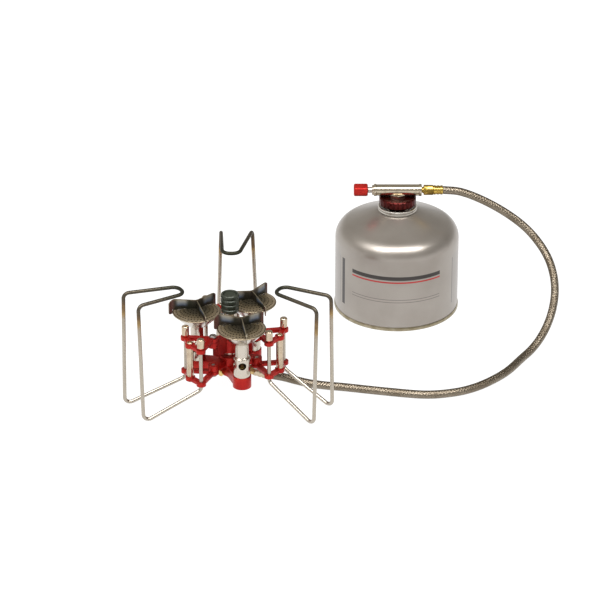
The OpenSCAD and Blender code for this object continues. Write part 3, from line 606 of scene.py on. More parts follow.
def machined(name, blanks, cuts, edge=0.3, segments=2):
    """Blanks joined into one solid, less the cuts, with its edges broken."""
    piece, cutter = join(blanks, name), join(cuts, "cutter")
    modify(piece, "BOOLEAN", object=cutter, operation="DIFFERENCE", solver="EXACT", use_self=True)
    bpy.data.objects.remove(cutter)
    opened(piece)
    bpy.ops.mesh.remove_doubles(threshold=0.01 * MM)
    bpy.ops.mesh.dissolve_limited(angle_limit=math.radians(1))
    bpy.ops.object.mode_set(mode="OBJECT")
    return break_edges(piece, edge, segments) if edge else smooth(piece)


def copy_of(piece, name, place):
    """A copy with a mesh of its own."""
    deselect()
    made = piece.copy()
    made.data = piece.data.copy()
    bpy.context.collection.objects.link(made)
    made.name = name
    return seat(made, place)


def trim(piece, material, body, slot):
    """Finishes a piece: its material, unless it has its own already, and its body. The slot is not used."""
    if material:
        piece.data.materials.clear()
        piece.data.materials.append(material)
    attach(piece, body)
    return piece


def fit(piece, material, *packed):
    """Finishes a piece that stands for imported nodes."""
    trim(piece, material, BODY_OF[packed[0]], SLOT_OF[packed[0]])
    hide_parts(*packed)
    return piece


def share(pieces, material, packed):
    """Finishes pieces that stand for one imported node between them."""
    fit(pieces[0], material, packed)
    for piece in pieces[1:]:
        trim(piece, material, BODY_OF[packed], SLOT_OF[packed])


def repaint(material, *packed):
    """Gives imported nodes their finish."""
    for name in packed:
        data = frame["nodes"][name].data
        data.materials.clear()
        data.materials.append(material)


# ---------------------------------------------------------------- hose

HOSE_D = 7.0
HOSE_START = (182.0, 158.8, 110.5)
HOSE_END = (30.370, 3.729, 12.638)
HOSE_LIE = [             # from the valve down beside the cartridge and along the ground to the stove
    (198, 158.8, 108.5), (217, 158, 101), (237, 157, 89.5), (254, 154, 77), (266, 148, 65),
    (274, 138, 54.5), (278, 125, 45), (278.6, 111, 36), (276, 97, 26.5), (271, 84, 18),
    (264, 72, 10.5), (256, 61, 5.6), (247, 48.5, 3.7), (234, 26.5, 3.7), (220, 10, 3.7),
    (204, -3.5, 3.7), (186, -12, 3.7), (162, -15.5, 3.7), (129, -10, 3.7), (96, -2.7, 3.7),
    (80, 0.2, 3.7), (66, 2.8, 4.4), (54, 4.4, 6.6), (43.5, 4.8, 9.4)]
RELIEF = 0.30            # how far the bundles stand out
CARRIERS = 14            # bundles of wire that run each way round
BRAID_LAY = 18.0         # length in which a bundle goes once round
WIRES = 4                # wires side by side in a bundle


def smooth_path(points, step):
    """Points about step apart on a smooth curve through the given ones."""
    given = [Vector(p) for p in points]
    given = [2 * given[0] - given[1], *given, 2 * given[-1] - given[-2]]
    fine = []
    for a, b, c, d in zip(given, given[1:], given[2:], given[3:]):
        for k in range(12):
            t = k / 12
            fine.append(0.5 * (2 * b + (c - a) * t + (2 * a - 5 * b + 4 * c - d) * t * t
                               + (3 * b - a - 3 * c + d) * t ** 3))
    fine = np.array([*fine, given[-2]])
    run = np.concatenate([[0], np.cumsum(np.linalg.norm(np.diff(fine, axis=0), axis=1))])
    even = np.linspace(0, run[-1], round(run[-1] / step) + 1)
    return np.stack([np.interp(even, run, fine[:, i]) for i in range(3)], axis=1), even


def carried_frames(path):
    """Two directions across the path at each point, carried along it without twisting."""
    along = np.gradient(path, axis=0)
    along /= np.linalg.norm(along, axis=1)[:, None]
    side = np.cross(along[0], (0, 0, 1.0))
    sides = []
    for direction in along:
        side = side - direction * (side @ direction)
        side = side / np.linalg.norm(side)
        sides.append(side)
    sides = np.array(sides)
    return sides, np.cross(along, sides)


def braid_relief(run, turn):
    """Height of the braid's bundles, 0 to 1, over two and under two."""
    def bundle(direction):
        phase = (turn + direction * run / BRAID_LAY) * CARRIERS
        index = np.floor(phase)
        return index, np.clip(1 - np.abs((phase - index - 0.5) * 2.1) ** 3, 0, 1)

    right, right_body = bundle(1)
    left, left_body = bundle(-1)
    over = np.cos((right - left) * math.pi / 2 - math.pi / 4) > 0
    return np.maximum(right_body * np.where(over, 1, 0.45), left_body * np.where(over, 0.45, 1))


def braided_hose():
    step, around = 0.38, 60  # from one ring of points to the next, and points in a ring
    path, run = smooth_path([HOSE_START, *HOSE_LIE, HOSE_END], step)
    side, up = carried_frames(path)
    turn = np.arange(around) / around
    runs, turns = np.meshgrid(run, turn, indexing="ij")
    radius = HOSE_D / 2 - RELIEF + RELIEF * braid_relief(runs, turns)
    angle = turns * math.tau
    points = (path[:, None, :] + radius[..., None]
              * (np.cos(angle)[..., None] * side[:, None, :] + np.sin(angle)[..., None] * up[:, None, :]))
    rings = len(path)
    faces = [(i * around + j, i * around + (j + 1) % around,
              (i + 1) * around + (j + 1) % around, (i + 1) * around + j)
             for i in range(rings - 1) for j in range(around)]
    counts = [[(run[row] / BRAID_LAY * CARRIERS, (j + near) / around * CARRIERS)
               for row, near in ((i, 0), (i, 1), (i + 1, 1), (i + 1, 0))]
              for i in range(rings - 1) for j in range(around)]
    faces += [tuple(range(around))[::-1], tuple((rings - 1) * around + j for j in range(around))]
    mesh = bpy.data.meshes.new("braided_hose")
    mesh.from_pydata(points.reshape(-1, 3) * MM, [], faces)
    layer = mesh.uv_layers.new(name="braid")
    filled = np.concatenate([np.array(counts).reshape(-1, 2), np.zeros((2 * around, 2))])
    layer.data.foreach_set("uv", filled.ravel().astype(np.float32))
    piece = bpy.data.objects.new("braided_hose", mesh)
    bpy.context.collection.objects.link(piece)
    opened(piece)
    bpy.ops.mesh.normals_make_consistent(inside=False)
    bpy.ops.object.mode_set(mode="OBJECT")
    bpy.ops.object.shade_smooth()
    fit(piece, steel_braid(), "gas_hose")


braided_hose()


# ---------------------------------------------------------------- burners

BURNER_TURNS = (50.6, 170.6, 290.6)
BURNER_R = 28.2          # from the middle of the stove to a burner
# Rings of flame holes: the radii between which a ring lies, and its number of holes.
SCREEN_STEPS = [(3.6, 6.0, 11), (6.6, 9.0, 18), (9.6, 12.0, 25), (12.7, 15.1, 33), (15.8, 18.2, 40)]
SCREEN_R = 19.3
HOLE = 1.75              # flame hole before its corners are rounded
SHEET = 0.8              # windshield's sheet
# Turns of the windshields and, within one, of its arms.
SHIELD_TURNS = {"rear": 55, "left": 45, "front": 34}
ARM_TURNS = (0, 129, 248)
SHIELD_H = 10.8          # above the bowl's rim
TAB_DROP = 3.0           # how far the tall arms hook down outside the rim
DOME = 2.3               # rise of the pierced disc to its middle
SCREEN_FLAT = 3.0        # radius of its flat middle
SHIELD_EDGE = 0.16       # round on the edges of the windshield's sheet


def dome_rise(reach):
    """Height of the pierced disc above its edge."""
    return DOME * min(1, (SCREEN_R - reach) / (SCREEN_R - SCREEN_FLAT))


def bowl(name, x, y, rim_z):
    """Bowl with a thick throat on the tube, a deep flare and a rolled rim."""
    inner, wall, rim = 5.44, 0.6, 19.75
    socket = rim_z - 12.7
    flare = [(6.5 + 12.5 * t, socket + 0.3 + 11.4 * t ** 1.28) for t in (0, 0.2, 0.4, 0.6, 0.8, 1)]
    bead = [(rim + 0.55 * math.cos(math.radians(a)), rim_z + 0.15 + 0.62 * math.sin(math.radians(a)))
            for a in (-100, -60, -25, 10, 45, 80, 115, 150)]
    back = [(r - 0.4, h + wall) for r, h in reversed(flare) if h > rim_z - 9.5]
    outline = [(inner, socket), (inner + wall, socket), *flare, *bead, (19.1, rim_z - 0.5), *back,
               (inner + 1.5, rim_z - 9.1), (inner, rim_z - 9.1), (inner, socket)]
    return turned(name, outline, 72, 0.12, spot(x, y, 0))


def screen(name, x, y, rim_z):
    """Domed disc with five staggered rings of flame holes."""
    deselect()
    bpy.ops.mesh.primitive_circle_add(vertices=12, radius=SCREEN_STEPS[0][0] * MM)
    piece = bpy.context.object
    piece.name = name
    bpy.ops.object.mode_set(mode="EDIT")
    bpy.ops.mesh.select_all(action="DESELECT")
    for band, (inside, outside, count) in enumerate(SCREEN_STEPS):
        bpy.ops.mesh.primitive_circle_add(vertices=count, radius=inside * MM,
                                          rotation=(0, 0, band * math.pi / count))
        bpy.ops.mesh.extrude_edges_move()
        bpy.ops.transform.resize(value=(outside / inside, outside / inside, 1),
                                 center_override=(0, 0, 0))
        bpy.ops.mesh.select_mode(type="FACE")
        bpy.ops.mesh.select_all(action="DESELECT")
        select_between(piece, inside - 0.1, outside + 0.1)
        pitch = math.pi * (inside + outside) / count
        bpy.ops.mesh.inset(thickness=(pitch - HOLE) / 2 * MM, use_individual=True)
        bpy.ops.mesh.delete(type="FACE")
        bpy.ops.mesh.select_mode(type="EDGE")
        bpy.ops.mesh.select_all(action="DESELECT")
    radii = [(a[1], b[0]) for a, b in zip(SCREEN_STEPS, SCREEN_STEPS[1:])]
    bpy.ops.mesh.remove_doubles(threshold=0.002 * MM)
    bpy.ops.object.mode_set(mode="OBJECT")
    for outside, inside in radii:
        bridge_rings(piece, outside, inside)
    widen_and_close(piece)
    modify(piece, "SUBSURF", levels=1, render_levels=1)
    for vertex in piece.data.vertices:
        vertex.co.z = (rim_z + 0.35 + dome_rise(vertex.co.xy.length / MM)) * MM
    modify(piece, "SOLIDIFY", thickness=0.5 * MM, offset=-1)
    return smooth(seat(piece, spot(x, y, 0)), 40)


def select_between(piece, inside, outside):
    """Selects the faces whose middles lie between two radii."""
    bpy.ops.object.mode_set(mode="OBJECT")
    for face in piece.data.polygons:
        face.select = inside < face.center.xy.length / MM < outside
    bpy.ops.object.mode_set(mode="EDIT")


def ring_edges(piece, radius):
    """Selects the open edges that lie on one radius."""
    uses = {}
    for face in piece.data.polygons:
        for key in face.edge_keys:
            uses[key] = uses.get(key, 0) + 1
    points = piece.data.vertices
    for edge in piece.data.edges:
        on = all(abs(points[v].co.xy.length / MM - radius) < 0.02 for v in edge.vertices)
        if on and uses.get(edge.key, 0) < 2:
            edge.select = True
            for v in edge.vertices:
                points[v].select = True


def clear_mesh_selection(piece):
    only(piece)
    bpy.ops.object.mode_set(mode="EDIT")
    bpy.ops.mesh.select_mode(type="EDGE")
    bpy.ops.mesh.select_all(action="DESELECT")
    bpy.ops.object.mode_set(mode="OBJECT")


def bridge_rings(piece, outside, inside):
    clear_mesh_selection(piece)
    ring_edges(piece, outside)
    ring_edges(piece, inside)
    bpy.ops.object.mode_set(mode="EDIT")
    bpy.ops.mesh.bridge_edge_loops()
    bpy.ops.object.mode_set(mode="OBJECT")


def widen_and_close(piece):
    """Fills the middle of the disc and carries its edge out to the bowl's rim."""
    clear_mesh_selection(piece)
    ring_edges(piece, SCREEN_STEPS[-1][1])
    bpy.ops.object.mode_set(mode="EDIT")
    grow = (SCREEN_R - 0.1) / SCREEN_STEPS[-1][1]
    bpy.ops.mesh.extrude_edges_move()
    bpy.ops.transform.resize(value=(grow, grow, 1), center_override=(0, 0, 0))
    bpy.ops.object.mode_set(mode="OBJECT")
    clear_mesh_selection(piece)
    ring_edges(piece, SCREEN_STEPS[0][0])
    bpy.ops.object.mode_set(mode="EDIT")
    bpy.ops.mesh.extrude_edges_move()
    shrink = SCREEN_FLAT / SCREEN_STEPS[0][0]
    bpy.ops.transform.resize(value=(shrink, shrink, 1), center_override=(0, 0, 0))
    bpy.ops.mesh.edge_face_add()
    bpy.ops.object.mode_set(mode="OBJECT")


def sheet(name, stations, place, blued):
    """Upright sheet along a path. A station is its plan point and the heights of both edges.

    Its faces take the blued finish and its thin edges the worn one, a lighter tan that is worn bare steel
    with a painted highlight.
    """
    deselect()
    bpy.ops.mesh.primitive_grid_add(x_subdivisions=len(stations) - 1, y_subdivisions=1, size=2 * MM)
    piece = bpy.context.object
    piece.name = name
    for material in (blued, worn_and_highlit_edge):
        piece.data.materials.append(material)
    points = sorted(piece.data.vertices, key=lambda v: (round(v.co.x / MM, 4), v.co.y))
    for (low, high), (x, y, bottom, top) in zip(zip(points[::2], points[1::2]), stations):
        low.co = Vector((x, y, bottom)) * MM
        high.co = Vector((x, y, top)) * MM
    modify(piece, "SOLIDIFY", thickness=SHEET * MM, offset=0, use_even_offset=True,
           material_offset_rim=1)
    return seat(break_edges(piece, SHIELD_EDGE, 2, 40), place)


def shield_stations(low_arm, rim_z):
    """Reach along the arm and the heights of its edges, from the middle outwards."""
    top = rim_z + SHIELD_H
    tab = rim_z - (3.8 if low_arm else TAB_DROP)
    high = [(0, 0), (7.6, 0), (9, 0), (14, 0), (17.4, 0), (18.6, -0.08), (19.3, -0.2), (19.4, -0.25),
            (20.0, -0.55), (20.44, -0.85), (20.46, -0.87), (21.2, -1.6)]
    made = []
    for reach, fall in high:
        bottom = rim_z + 0.45 + dome_rise(reach)
        if 8 < reach < 18 and not low_arm:
            bottom += 0.9
        if reach > 19.35:
            bottom = rim_z + 0.9
        if reach > 20.45:
            bottom = tab
        edge = top + fall
        if low_arm:
            edge = top - 5.6 * (reach / 19.1) ** 1.15 + fall * 0.3
        made.append((reach, bottom, edge))
    return made


def windshield(name, x, y, rim_z, turn, blued):
    """Two tall arms folded from one sheet, with turned-out ends, and a low third arm."""
    tall, low = shield_stations(False, rim_z), shield_stations(True, rim_z)
    ends = []
    for azimuth, flange in ((0, 60), (ARM_TURNS[1], 52)):
        side = [(*polar(r, azimuth), b, t) for r, b, t in tall if r > 2]
        hinge = polar(21.25, azimuth, 0.05)
        for out, rise, fall in ((0.5, 0, 1.9), (1.4, 0, 2.2), (2.2, 0.2, 2.6), (2.7, 0.8, 3.3),
                                (2.95, 1.7, 4.3)):
            dx, dy = polar(out, azimuth + flange)
            side.append((hinge[0] + dx, hinge[1] + dy, rim_z - TAB_DROP + rise,
                         rim_z + SHIELD_H - fall))
        ends.append(side)
    a, b = polar(2.4, 0), polar(2.4, ARM_TURNS[1])
    fold = [(a[0] * (1 - t) ** 2 + b[0] * t ** 2, a[1] * (1 - t) ** 2 + b[1] * t ** 2, *tall[0][1:])
            for t in (0.1, 0.3, 0.5, 0.7, 0.9)]
    place = spot(x, y, 0, turn)
    main = sheet(name, ends[0][::-1] + fold + ends[1], place, blued)
    third = [(*polar(max(r, 0.7), ARM_TURNS[2]), b, t) for r, b, t in low]
    return join([main, sheet("arm", third, place, blued)], name)


def shield_feet(name, x, y, rim_z, turn):
    """Bright spot-welded feet of the windshield, bent flat on the disc."""
    feet = []
    for azimuth, side, reach in ((0, -1, 14.2), (0, 1, 9.5), (ARM_TURNS[1], 1, 14.2),
                                 (ARM_TURNS[1], -1, 9.5), (ARM_TURNS[2], 1, 12.5)):
        foot_z = rim_z + 0.4 + dome_rise(reach)
        ends = [polar(out, azimuth, side * 1.35) for out in (reach - 1.7, reach + 1.7)]
        feet.append(break_edges(bar(*ends, 2.2, foot_z - 0.1, foot_z + 0.45), 0.15, 2))
    return seat(join(feet, name), spot(x, y, 0, turn))


def air_holed_tube(name, x, y, azimuth):
    """Stepped mixing tube with four air holes."""
    outline = [(6.2, 24.0), (7.0, 24.0), (7.0, 44.9), (5.5, 46.5), (5.4, 61.5), (4.6, 61.5),
               (4.6, 46.0), (6.2, 44.2), (6.2, 24.0)]
    tube = turned(name, outline, 72, 0.22)
    cuts = [seat(prism(40, 6.6, -9, 9), spot(0, 0, 39.6, turn, 90)) for turn in (0, 90)]
    piece = machined(name, [tube], cuts, edge=0.14)
    return seat(piece, spot(x, y, 0, azimuth))


def gas_jet(name, x, y):
    nut = prism(6, 6.4, 24.04, 28.04)
    body = turned("body", [(0, 26), (2, 26), (2, 35.4), (1.3, 35.6), (1.3, 36.7), (0.4, 36.9),
                           (0.4, 36.2), (0, 36.2)], 32, 0.1)
    return seat(join([break_edges(nut, 0.25), body], name), spot(x, y, 0))


RIM_Z = high_of("rear_burner_bowl") - 0.8       # of the bowls, low in their rolled beads
# Lighter tan of the sheets' cut edges: worn bare steel, and a painted highlight along each edge.
worn_and_highlit_edge = plated("worn_and_highlit_edge", (0.30, 0.265, 0.195), (0.17, 0.14, 0.10), 0.3, "Z")
foot_steel = plated("foot_steel", (0.62, 0.58, 0.52), (0.40, 0.36, 0.30), 0.2, "Z")
jet_brass = plated("jet_brass", (0.66, 0.48, 0.17), (0.42, 0.29, 0.11), along="Z")
jets = []
for which, azimuth in zip(BURNERS, BURNER_TURNS):
    x, y, _ = middle(f"{which}_burner_bowl")
    fit(bowl(f"{which}_bowl", x, y, RIM_Z), spun_bowl(f"{which}_spun_bowl", x, y, RIM_Z),
        f"{which}_burner_bowl")
    fit(screen(f"{which}_screen", x, y, RIM_Z), burner_plate(f"{which}_burner_plate", x, y),
        f"{which}_burner_screen")
    blued = blued_sheet(f"{which}_blued_sheet", x, y, RIM_Z)
    fit(windshield(f"{which}_shield", x, y, RIM_Z, SHIELD_TURNS[which], blued), None,
        f"{which}_windshield")
    trim(shield_feet(f"{which}_feet", x, y, RIM_Z, SHIELD_TURNS[which]), foot_steel, "stove",
         SLOT_OF[f"{which}_windshield"])
    fit(air_holed_tube(f"{which}_tube", x, y, azimuth - 16),
        turned_alloy(f"{which}_turned_alloy", x, y), f"{which}_burner_tube")
    jets.append(gas_jet(f"{which}_jet", x, y))
share(jets, jet_brass, "gas_jets")


# ---------------------------------------------------------------- manifold, spider and column

PIVOT_TURNS = {"rear": 110.6, "left": 230.6, "right": 350.6}
PIVOT_R = 22.0
LUG_D = 9.2              # round ends that the pivot screws pass through
SCREW_HOLE = 3.1
ELECTRODE_R = 13.0       # from the middle of the stove to the spark electrode


def plate_of(name, outline, low, high):
    """Flat solid: an outline drawn point by point, filled and extruded."""
    piece = drawn_line(name, [(x, y, low) for x, y in outline])
    bpy.ops.mesh.remove_doubles(threshold=0.002 * MM)
    bpy.ops.mesh.edge_face_add()
    bpy.ops.mesh.extrude_region_move(TRANSFORM_OT_translate={"value": (0, 0, (high - low) * MM)})
    bpy.ops.mesh.select_all(action="SELECT")
    bpy.ops.mesh.normals_make_consistent(inside=False)
    bpy.ops.object.mode_set(mode="OBJECT")
    return seat(piece)


def star_outline():
    """Three broad arms with round ends, filleted into the middle."""
    hub, half, round_r, cup, reach = 9.9, 6.0, 8.0, 7.7, BURNER_R
    side = half + round_r
    near = math.sqrt((hub + round_r) ** 2 - side ** 2)
    far = reach - math.sqrt((cup + round_r) ** 2 - side ** 2)
    hub_turn = math.degrees(math.atan2(side, near))
    cup_turn = math.degrees(math.atan2(side, far - reach))
    half_arm = (arc((0, 0), hub, 60, hub_turn, 2) + arc((near, side), round_r, 180 + hub_turn, 270, 7)
                + arc((far, side), round_r, 270, 180 + cup_turn, 4)
                + arc((reach, 0), cup, cup_turn, 0, 16))
    arm = [(x, -y) for x, y in half_arm] + half_arm[::-1]
    outline = []
    for azimuth in BURNER_TURNS:
        outline += [polar(x, azimuth, y) for x, y in arm]
    tidy = [outline[0]]
    for point in outline[1:]:
        if math.dist(point, tidy[-1]) > 0.05:
            tidy.append(point)
    return tidy if math.dist(tidy[0], tidy[-1]) < 0.05 else [*tidy, tidy[0]]


def hub():
    """Manifold: star with three cups, round middle, three lugs and the inlet's boss."""
    blanks = [plate_of("star", star_outline(), 18, 28), prism(64, 21, 27, 35)]
    cuts = []
    for azimuth in PIVOT_TURNS.values():
        x, y = polar(PIVOT_R, azimuth)
        blanks += [prism(40, LUG_D, 28, 33, x, y),
                   bar((0, 0), polar(PIVOT_R - 3, azimuth), 8, 28, 33)]
        cuts.append(prism(28, SCREW_HOLE, 20, 40, x, y))
    cuts += [prism(64, 14.1, 24, 32, *polar(BURNER_R, azimuth)) for azimuth in BURNER_TURNS]
    cuts.append(prism(48, 9.1, 30, 40))
    blanks.append(seat(prism(48, 8.0, 2, 15), inlet_place(0)))
    cuts.append(seat(prism(32, 5.1, 9, 18), inlet_place(0)))
    return machined("manifold", blanks, cuts, edge=0.45, segments=3)


INLET_TURN, INLET_TILT, INLET_ROOT = 7.0, 22.0, 25.0     # its root is a height on the stove's axis


def inlet_place(along):
    """Place whose Z axis runs down the inlet, towards the hose."""
    return spot(0, 0, INLET_ROOT, INLET_TURN, 90 + INLET_TILT) @ spot(0, 0, along)


def spider():
    """Upper frame: a round boss with three arms that taper towards their lugs."""
    blanks = [prism(64, 18, 39, 55.5)]
    cuts = [prism(48, 11.1, 30, 60)]
    for azimuth in PIVOT_TURNS.values():
        x, y = polar(PIVOT_R, azimuth)
        blanks.append(prism(40, LUG_D, 50, 55, x, y))
        end = polar(PIVOT_R - 3, azimuth)
        arm = opened(bar((0, 0), end, 6, 39.6, 55))
        outer, inner = Vector((*end, 50)) * MM, Vector((*polar(9.7, azimuth), 39.6)) * MM
        underside = (outer - inner).cross(Vector((*polar(0, azimuth, 1), 0)))
        bpy.ops.mesh.bisect(plane_co=outer, plane_no=underside, use_fill=True,
                            clear_outer=underside.z < 0, clear_inner=underside.z > 0)
        bpy.ops.object.mode_set(mode="OBJECT")
        blanks.append(arm)
        cuts.append(prism(28, SCREW_HOLE, 46, 58, x, y))
    cuts.append(prism(28, 3.1, 36, 58, *polar(ELECTRODE_R, PIVOT_TURNS["rear"])))
    return machined("spider", blanks, cuts, edge=0.4, segments=3)


def plug(name, azimuth):
    """Hexagon plug with a turned face."""
    head = prism(6, 5.0, 0.6, 3.2)
    nose = turned("nose", [(0, -2), (2, -2), (2, 3.0), (1.7, 3.3), (0, 3.4)], 32, 0.15)
    piece = join([break_edges(head, 0.3), nose], name)
    x, y = polar(10.5, azimuth + 180)
    return seat(piece, spot(x, y, 21.2, azimuth + 180, 90))


red = red_anodised()
fit(hub(), red, "hub_block")
fit(spider(), red, "hub_spider")
plug_brass = plated("plug_brass", (0.74, 0.53, 0.20), (0.50, 0.34, 0.13), along="Y")
share([plug("rear_plug", BURNER_TURNS[0]), plug("front_plug", BURNER_TURNS[2])], plug_brass,
      "channel_plugs")

COLUMN_TOP = high_of("hub_column")
COLLAR_TOP = high_of("igniter_collar")
column_finish = turned_alloy("column_alloy", 0, 0)
column = turned("column", [(4.3, 27.1), (4.5, 27.1), (4.5, 35.0), (6.7, 35.0), (6.7, 39.0),
                           (5.5, 39.0), (5.5, COLUMN_TOP), (4.3, COLUMN_TOP), (4.3, 27.1)],
                64, 0.2)
x, y = polar(5.5, PIVOT_TURNS["rear"])
lead_z = middle("spark_lead")[2] + 0.8
lead_hole = seat(prism(28, 3.2, -3, 3), spot(x, y, lead_z, PIVOT_TURNS["rear"], 90))
fit(machined("column", [column], [lead_hole], 0.12), column_finish, "hub_column")


# ---------------------------------------------------------------- igniter

def ribbed_collar():
    low = COLUMN_TOP - 2
    outline = [(5.5, low), (7.2, low)]
    for k in (3, 2, 1):
        groove = COLLAR_TOP - 4.3 * k
        outline += [(7.5, groove - 0.55), (6.8, groove - 0.05), (6.8, groove + 0.85), (7.5, groove + 1.35)]
    outline += [(7.5, COLLAR_TOP - 0.7), (6.9, COLLAR_TOP), (6.0, COLLAR_TOP), (5.5, COLLAR_TOP - 0.9),
                (5.5, low)]
    return turned("ribbed_collar", outline, 72, 0.18)


def push_button():
    foot = COLLAR_TOP - 5
    outline = [(0, foot - 10), (1.7, foot - 10), (1.7, foot), (5.2, foot), (5.2, foot + 3.6),
               (4.9, foot + 4.1), (4.5, foot + 4.0), (3.2, foot + 3.6), (1.6, foot + 3.45),
               (0, foot + 3.4)]
    return turned("push_button", outline, 64, 0.15)


def swept_wire(name, points, radii, radius, around=6, steps=14):
    """Bent wire: a curve with round bends, given its thickness and made into a mesh."""
    route = [Vector(points[0])]
    for before, corner, after, bend in zip(points, points[1:], points[2:], radii):
        a, b, c = Vector(before), Vector(corner), Vector(after)
        into, away = (b - a).normalized(), (c - b).normalized()
        angle = into.angle(away)
        side = into.cross(away).cross(into).normalized()
        start = b - into * bend * math.tan(angle / 2)
        centre = start + side * bend
        for k in range(steps + 1):
            w = angle * k / steps
            route.append(centre + (into * math.sin(w) - side * math.cos(w)) * bend)
    route.append(Vector(points[-1]))
    deselect()
    bpy.ops.curve.primitive_nurbs_path_add()
    piece = bpy.context.object
    piece.name = name
    piece.data.splines.clear()
    line = piece.data.splines.new("POLY")
    line.points.add(len(route) - 1)
    for point, place in zip(line.points, route):
        point.co = (*(place * MM), 1)
    piece.data.bevel_depth = radius * MM
    piece.data.bevel_resolution = around
    piece.data.use_fill_caps = True
    only(piece)
    bpy.ops.object.convert(target="MESH")
    opened(piece)
    bpy.ops.mesh.remove_doubles(threshold=0.001 * MM)
    bpy.ops.mesh.normals_make_consistent(inside=False)
    bpy.ops.object.mode_set(mode="OBJECT")
    return smooth(seat(piece), 50)


black = olive_black()
fit(ribbed_collar(), black, "igniter_collar")
fit(push_button(), black, "igniter_button")

x, y = polar(ELECTRODE_R, PIVOT_TURNS["rear"])
insulator = turned("insulator", [(0, 50.1), (1.5, 50.1), (1.5, RIM_Z + 3.2), (1.1, RIM_Z + 4),
                                 (0, RIM_Z + 4)], 36, 0.2, spot(x, y, 0))
fit(insulator, white_ceramic(), "spark_electrode")
tip_x, tip_y = polar(4, BURNER_TURNS[0])
tip = swept_wire("spark_tip", [(x, y, RIM_Z + 3), (x, y, RIM_Z + 8),
                               (x + tip_x, y + tip_y, RIM_Z + 8.6)], [1.5], 0.5, 4)
spark_steel = plated("spark_steel", (0.45, 0.40, 0.34), (0.20, 0.17, 0.14), 0.3, "Z")
trim(tip, spark_steel, "stove", SLOT_OF["spark_electrode"])
lead_from, lead_to = polar(4.45, PIVOT_TURNS["rear"]), polar(11.2, PIVOT_TURNS["rear"])
lead_mid = polar(7.8, PIVOT_TURNS["rear"])
lead = swept_wire("lead", [(*lead_from, lead_z), (*lead_mid, lead_z - 1.6), (*lead_to, lead_z)],
                  [3], 0.7, 5)
lead_black = plain_black("lead_black")
fit(lead, lead_black, "spark_lead")


# ---------------------------------------------------------------- legs

PIN_U, PIN_V, SPACER_U = 18.6, 13.5, 21.6        # out from a leg's pivot, and to both sides
LEG_TURNS = {"rear": 90.6, "left": 209.6, "right": 333.6}
EYES = ((PIN_U, -PIN_V), (SPACER_U, 0), (PIN_U, PIN_V))
WIRE_R, BEND, SUPPORT_BEND = 1.6, 4.8, 6.9       # bends of the wire's middle line
POST_LOW, POST_TOP, SUPPORT_Z = 20.7, 66.6, 105.0
FOOT_U, UPRIGHT_U, NOSE_U = 68.0, 68.4, 24.6     # reaches of the wire's corners from the pivot
FOOT_V, UPRIGHT_V, NOSE_V = 17.3, 13.3, 7.0      # and half of the distances between them
SKEW, NOSE_SKEW = 12.6, 7.8                      # shifts of the loop to the right of its posts


def leg_place(leg):
    x, y = polar(PIVOT_R, PIVOT_TURNS[leg])
    return spot(x, y, 0, LEG_TURNS[leg])


def leg_plate():
    """Open triangular plate with eyes for the pivot, both posts and the spacer."""
    first, tip_eye, last = EYES
    blanks = [bar(a, b, 4.4, 0, 3) for a, b in (((0, 0), first), ((0, 0), last),
                                               (first, tip_eye), (tip_eye, last))]
    blanks.append(prism(40, LUG_D, 0, 3))
    blanks += [prism(40, 8, 0, 3, *eye) for eye in EYES]
    cuts = [prism(32, 3.16, -1, 4)]
    cuts += [prism(32, d, -1, 4, *eye) for eye, d in zip(EYES, (3.28, 3.08, 3.28))]
    return machined("leg_plate", blanks, cuts, edge=0.5, segments=3)


def cross_head(name, radius, height, low):
    """Screw head, domed a little, with a cross recess."""
    head = turned(name, [(0, low), (radius, low), (radius, low + height * 0.6),
                         (radius - 0.35, low + height - 0.12), (0, low + height)], 40, 0.15)
    top = low + height
    span = radius * 0.62
    cuts = [bar((-span, 0), (span, 0), 0.75, top - 0.7, top + 1),
            bar((0, -span), (0, span), 0.75, top - 0.7, top + 1)]
    return machined(name, [head], cuts, 0.08)


def leg_spacer():
    """Turned spacer with a riveted foot and a cross-recess head."""
    shank = turned("shank", [(0, 23.3), (2.2, 23.3), (2.5, 23.7), (2.5, 24.7), (1.5, 24.7), (1.5, 27.7),
                             (3.0, 27.7), (3.0, 55.3), (1.5, 55.3), (1.5, 58.5), (0, 58.5)], 48, 0.2)
    return join([shank, cross_head("head", 2.5, 1.4, 58.3)], "leg_spacer")


def leg_cap():
    outline = [(0, 66.64), (1.64, 66.64), (1.64, 58.3), (2.2, 58.3), (3.1, 60.1), (3.1, 67.2),
               (2.6, 67.8), (0, 67.8)]
    return turned("leg_cap", outline, 48, 0.18)


def foot_height():
    """Height of the wire's foot corners at which the round bends just stand on the ground."""
    z = 0.0
    for _ in range(4):
        a, b, c = (Vector(p) for p in ((PIN_U, PIN_V, POST_LOW), (FOOT_U, FOOT_V - SKEW, z),
                                       (UPRIGHT_U, UPRIGHT_V - SKEW, SUPPORT_Z)))
        into, away = (b - a).normalized(), (c - b).normalized()
        side = into.cross(away).cross(into).normalized()
        centre = b - into * BEND * math.tan(into.angle(away) / 2) + side * BEND
        z += WIRE_R - (centre.z - BEND * math.hypot(side.z, into.z))
    return z


def leg_wire(leg):
    """One wire: post, foot, upright, pot support and back again."""
    foot_z = foot_height()
    points = [(PIN_U, -PIN_V, POST_TOP), (PIN_U, -PIN_V, POST_LOW), (FOOT_U, -FOOT_V - SKEW, foot_z),
              (UPRIGHT_U, -UPRIGHT_V - SKEW, SUPPORT_Z), (NOSE_U, -NOSE_V - NOSE_SKEW, SUPPORT_Z),
              (NOSE_U, NOSE_V - NOSE_SKEW, SUPPORT_Z), (UPRIGHT_U, UPRIGHT_V - SKEW, SUPPORT_Z),
              (FOOT_U, FOOT_V - SKEW, foot_z), (PIN_U, PIN_V, POST_LOW), (PIN_U, PIN_V, POST_TOP)]
    bends = [BEND] * 3 + [SUPPORT_BEND] * 2 + [BEND] * 3
    piece = swept_wire(f"{leg}_wire", points, bends, WIRE_R, 7)
    return seat(piece, leg_place(leg))


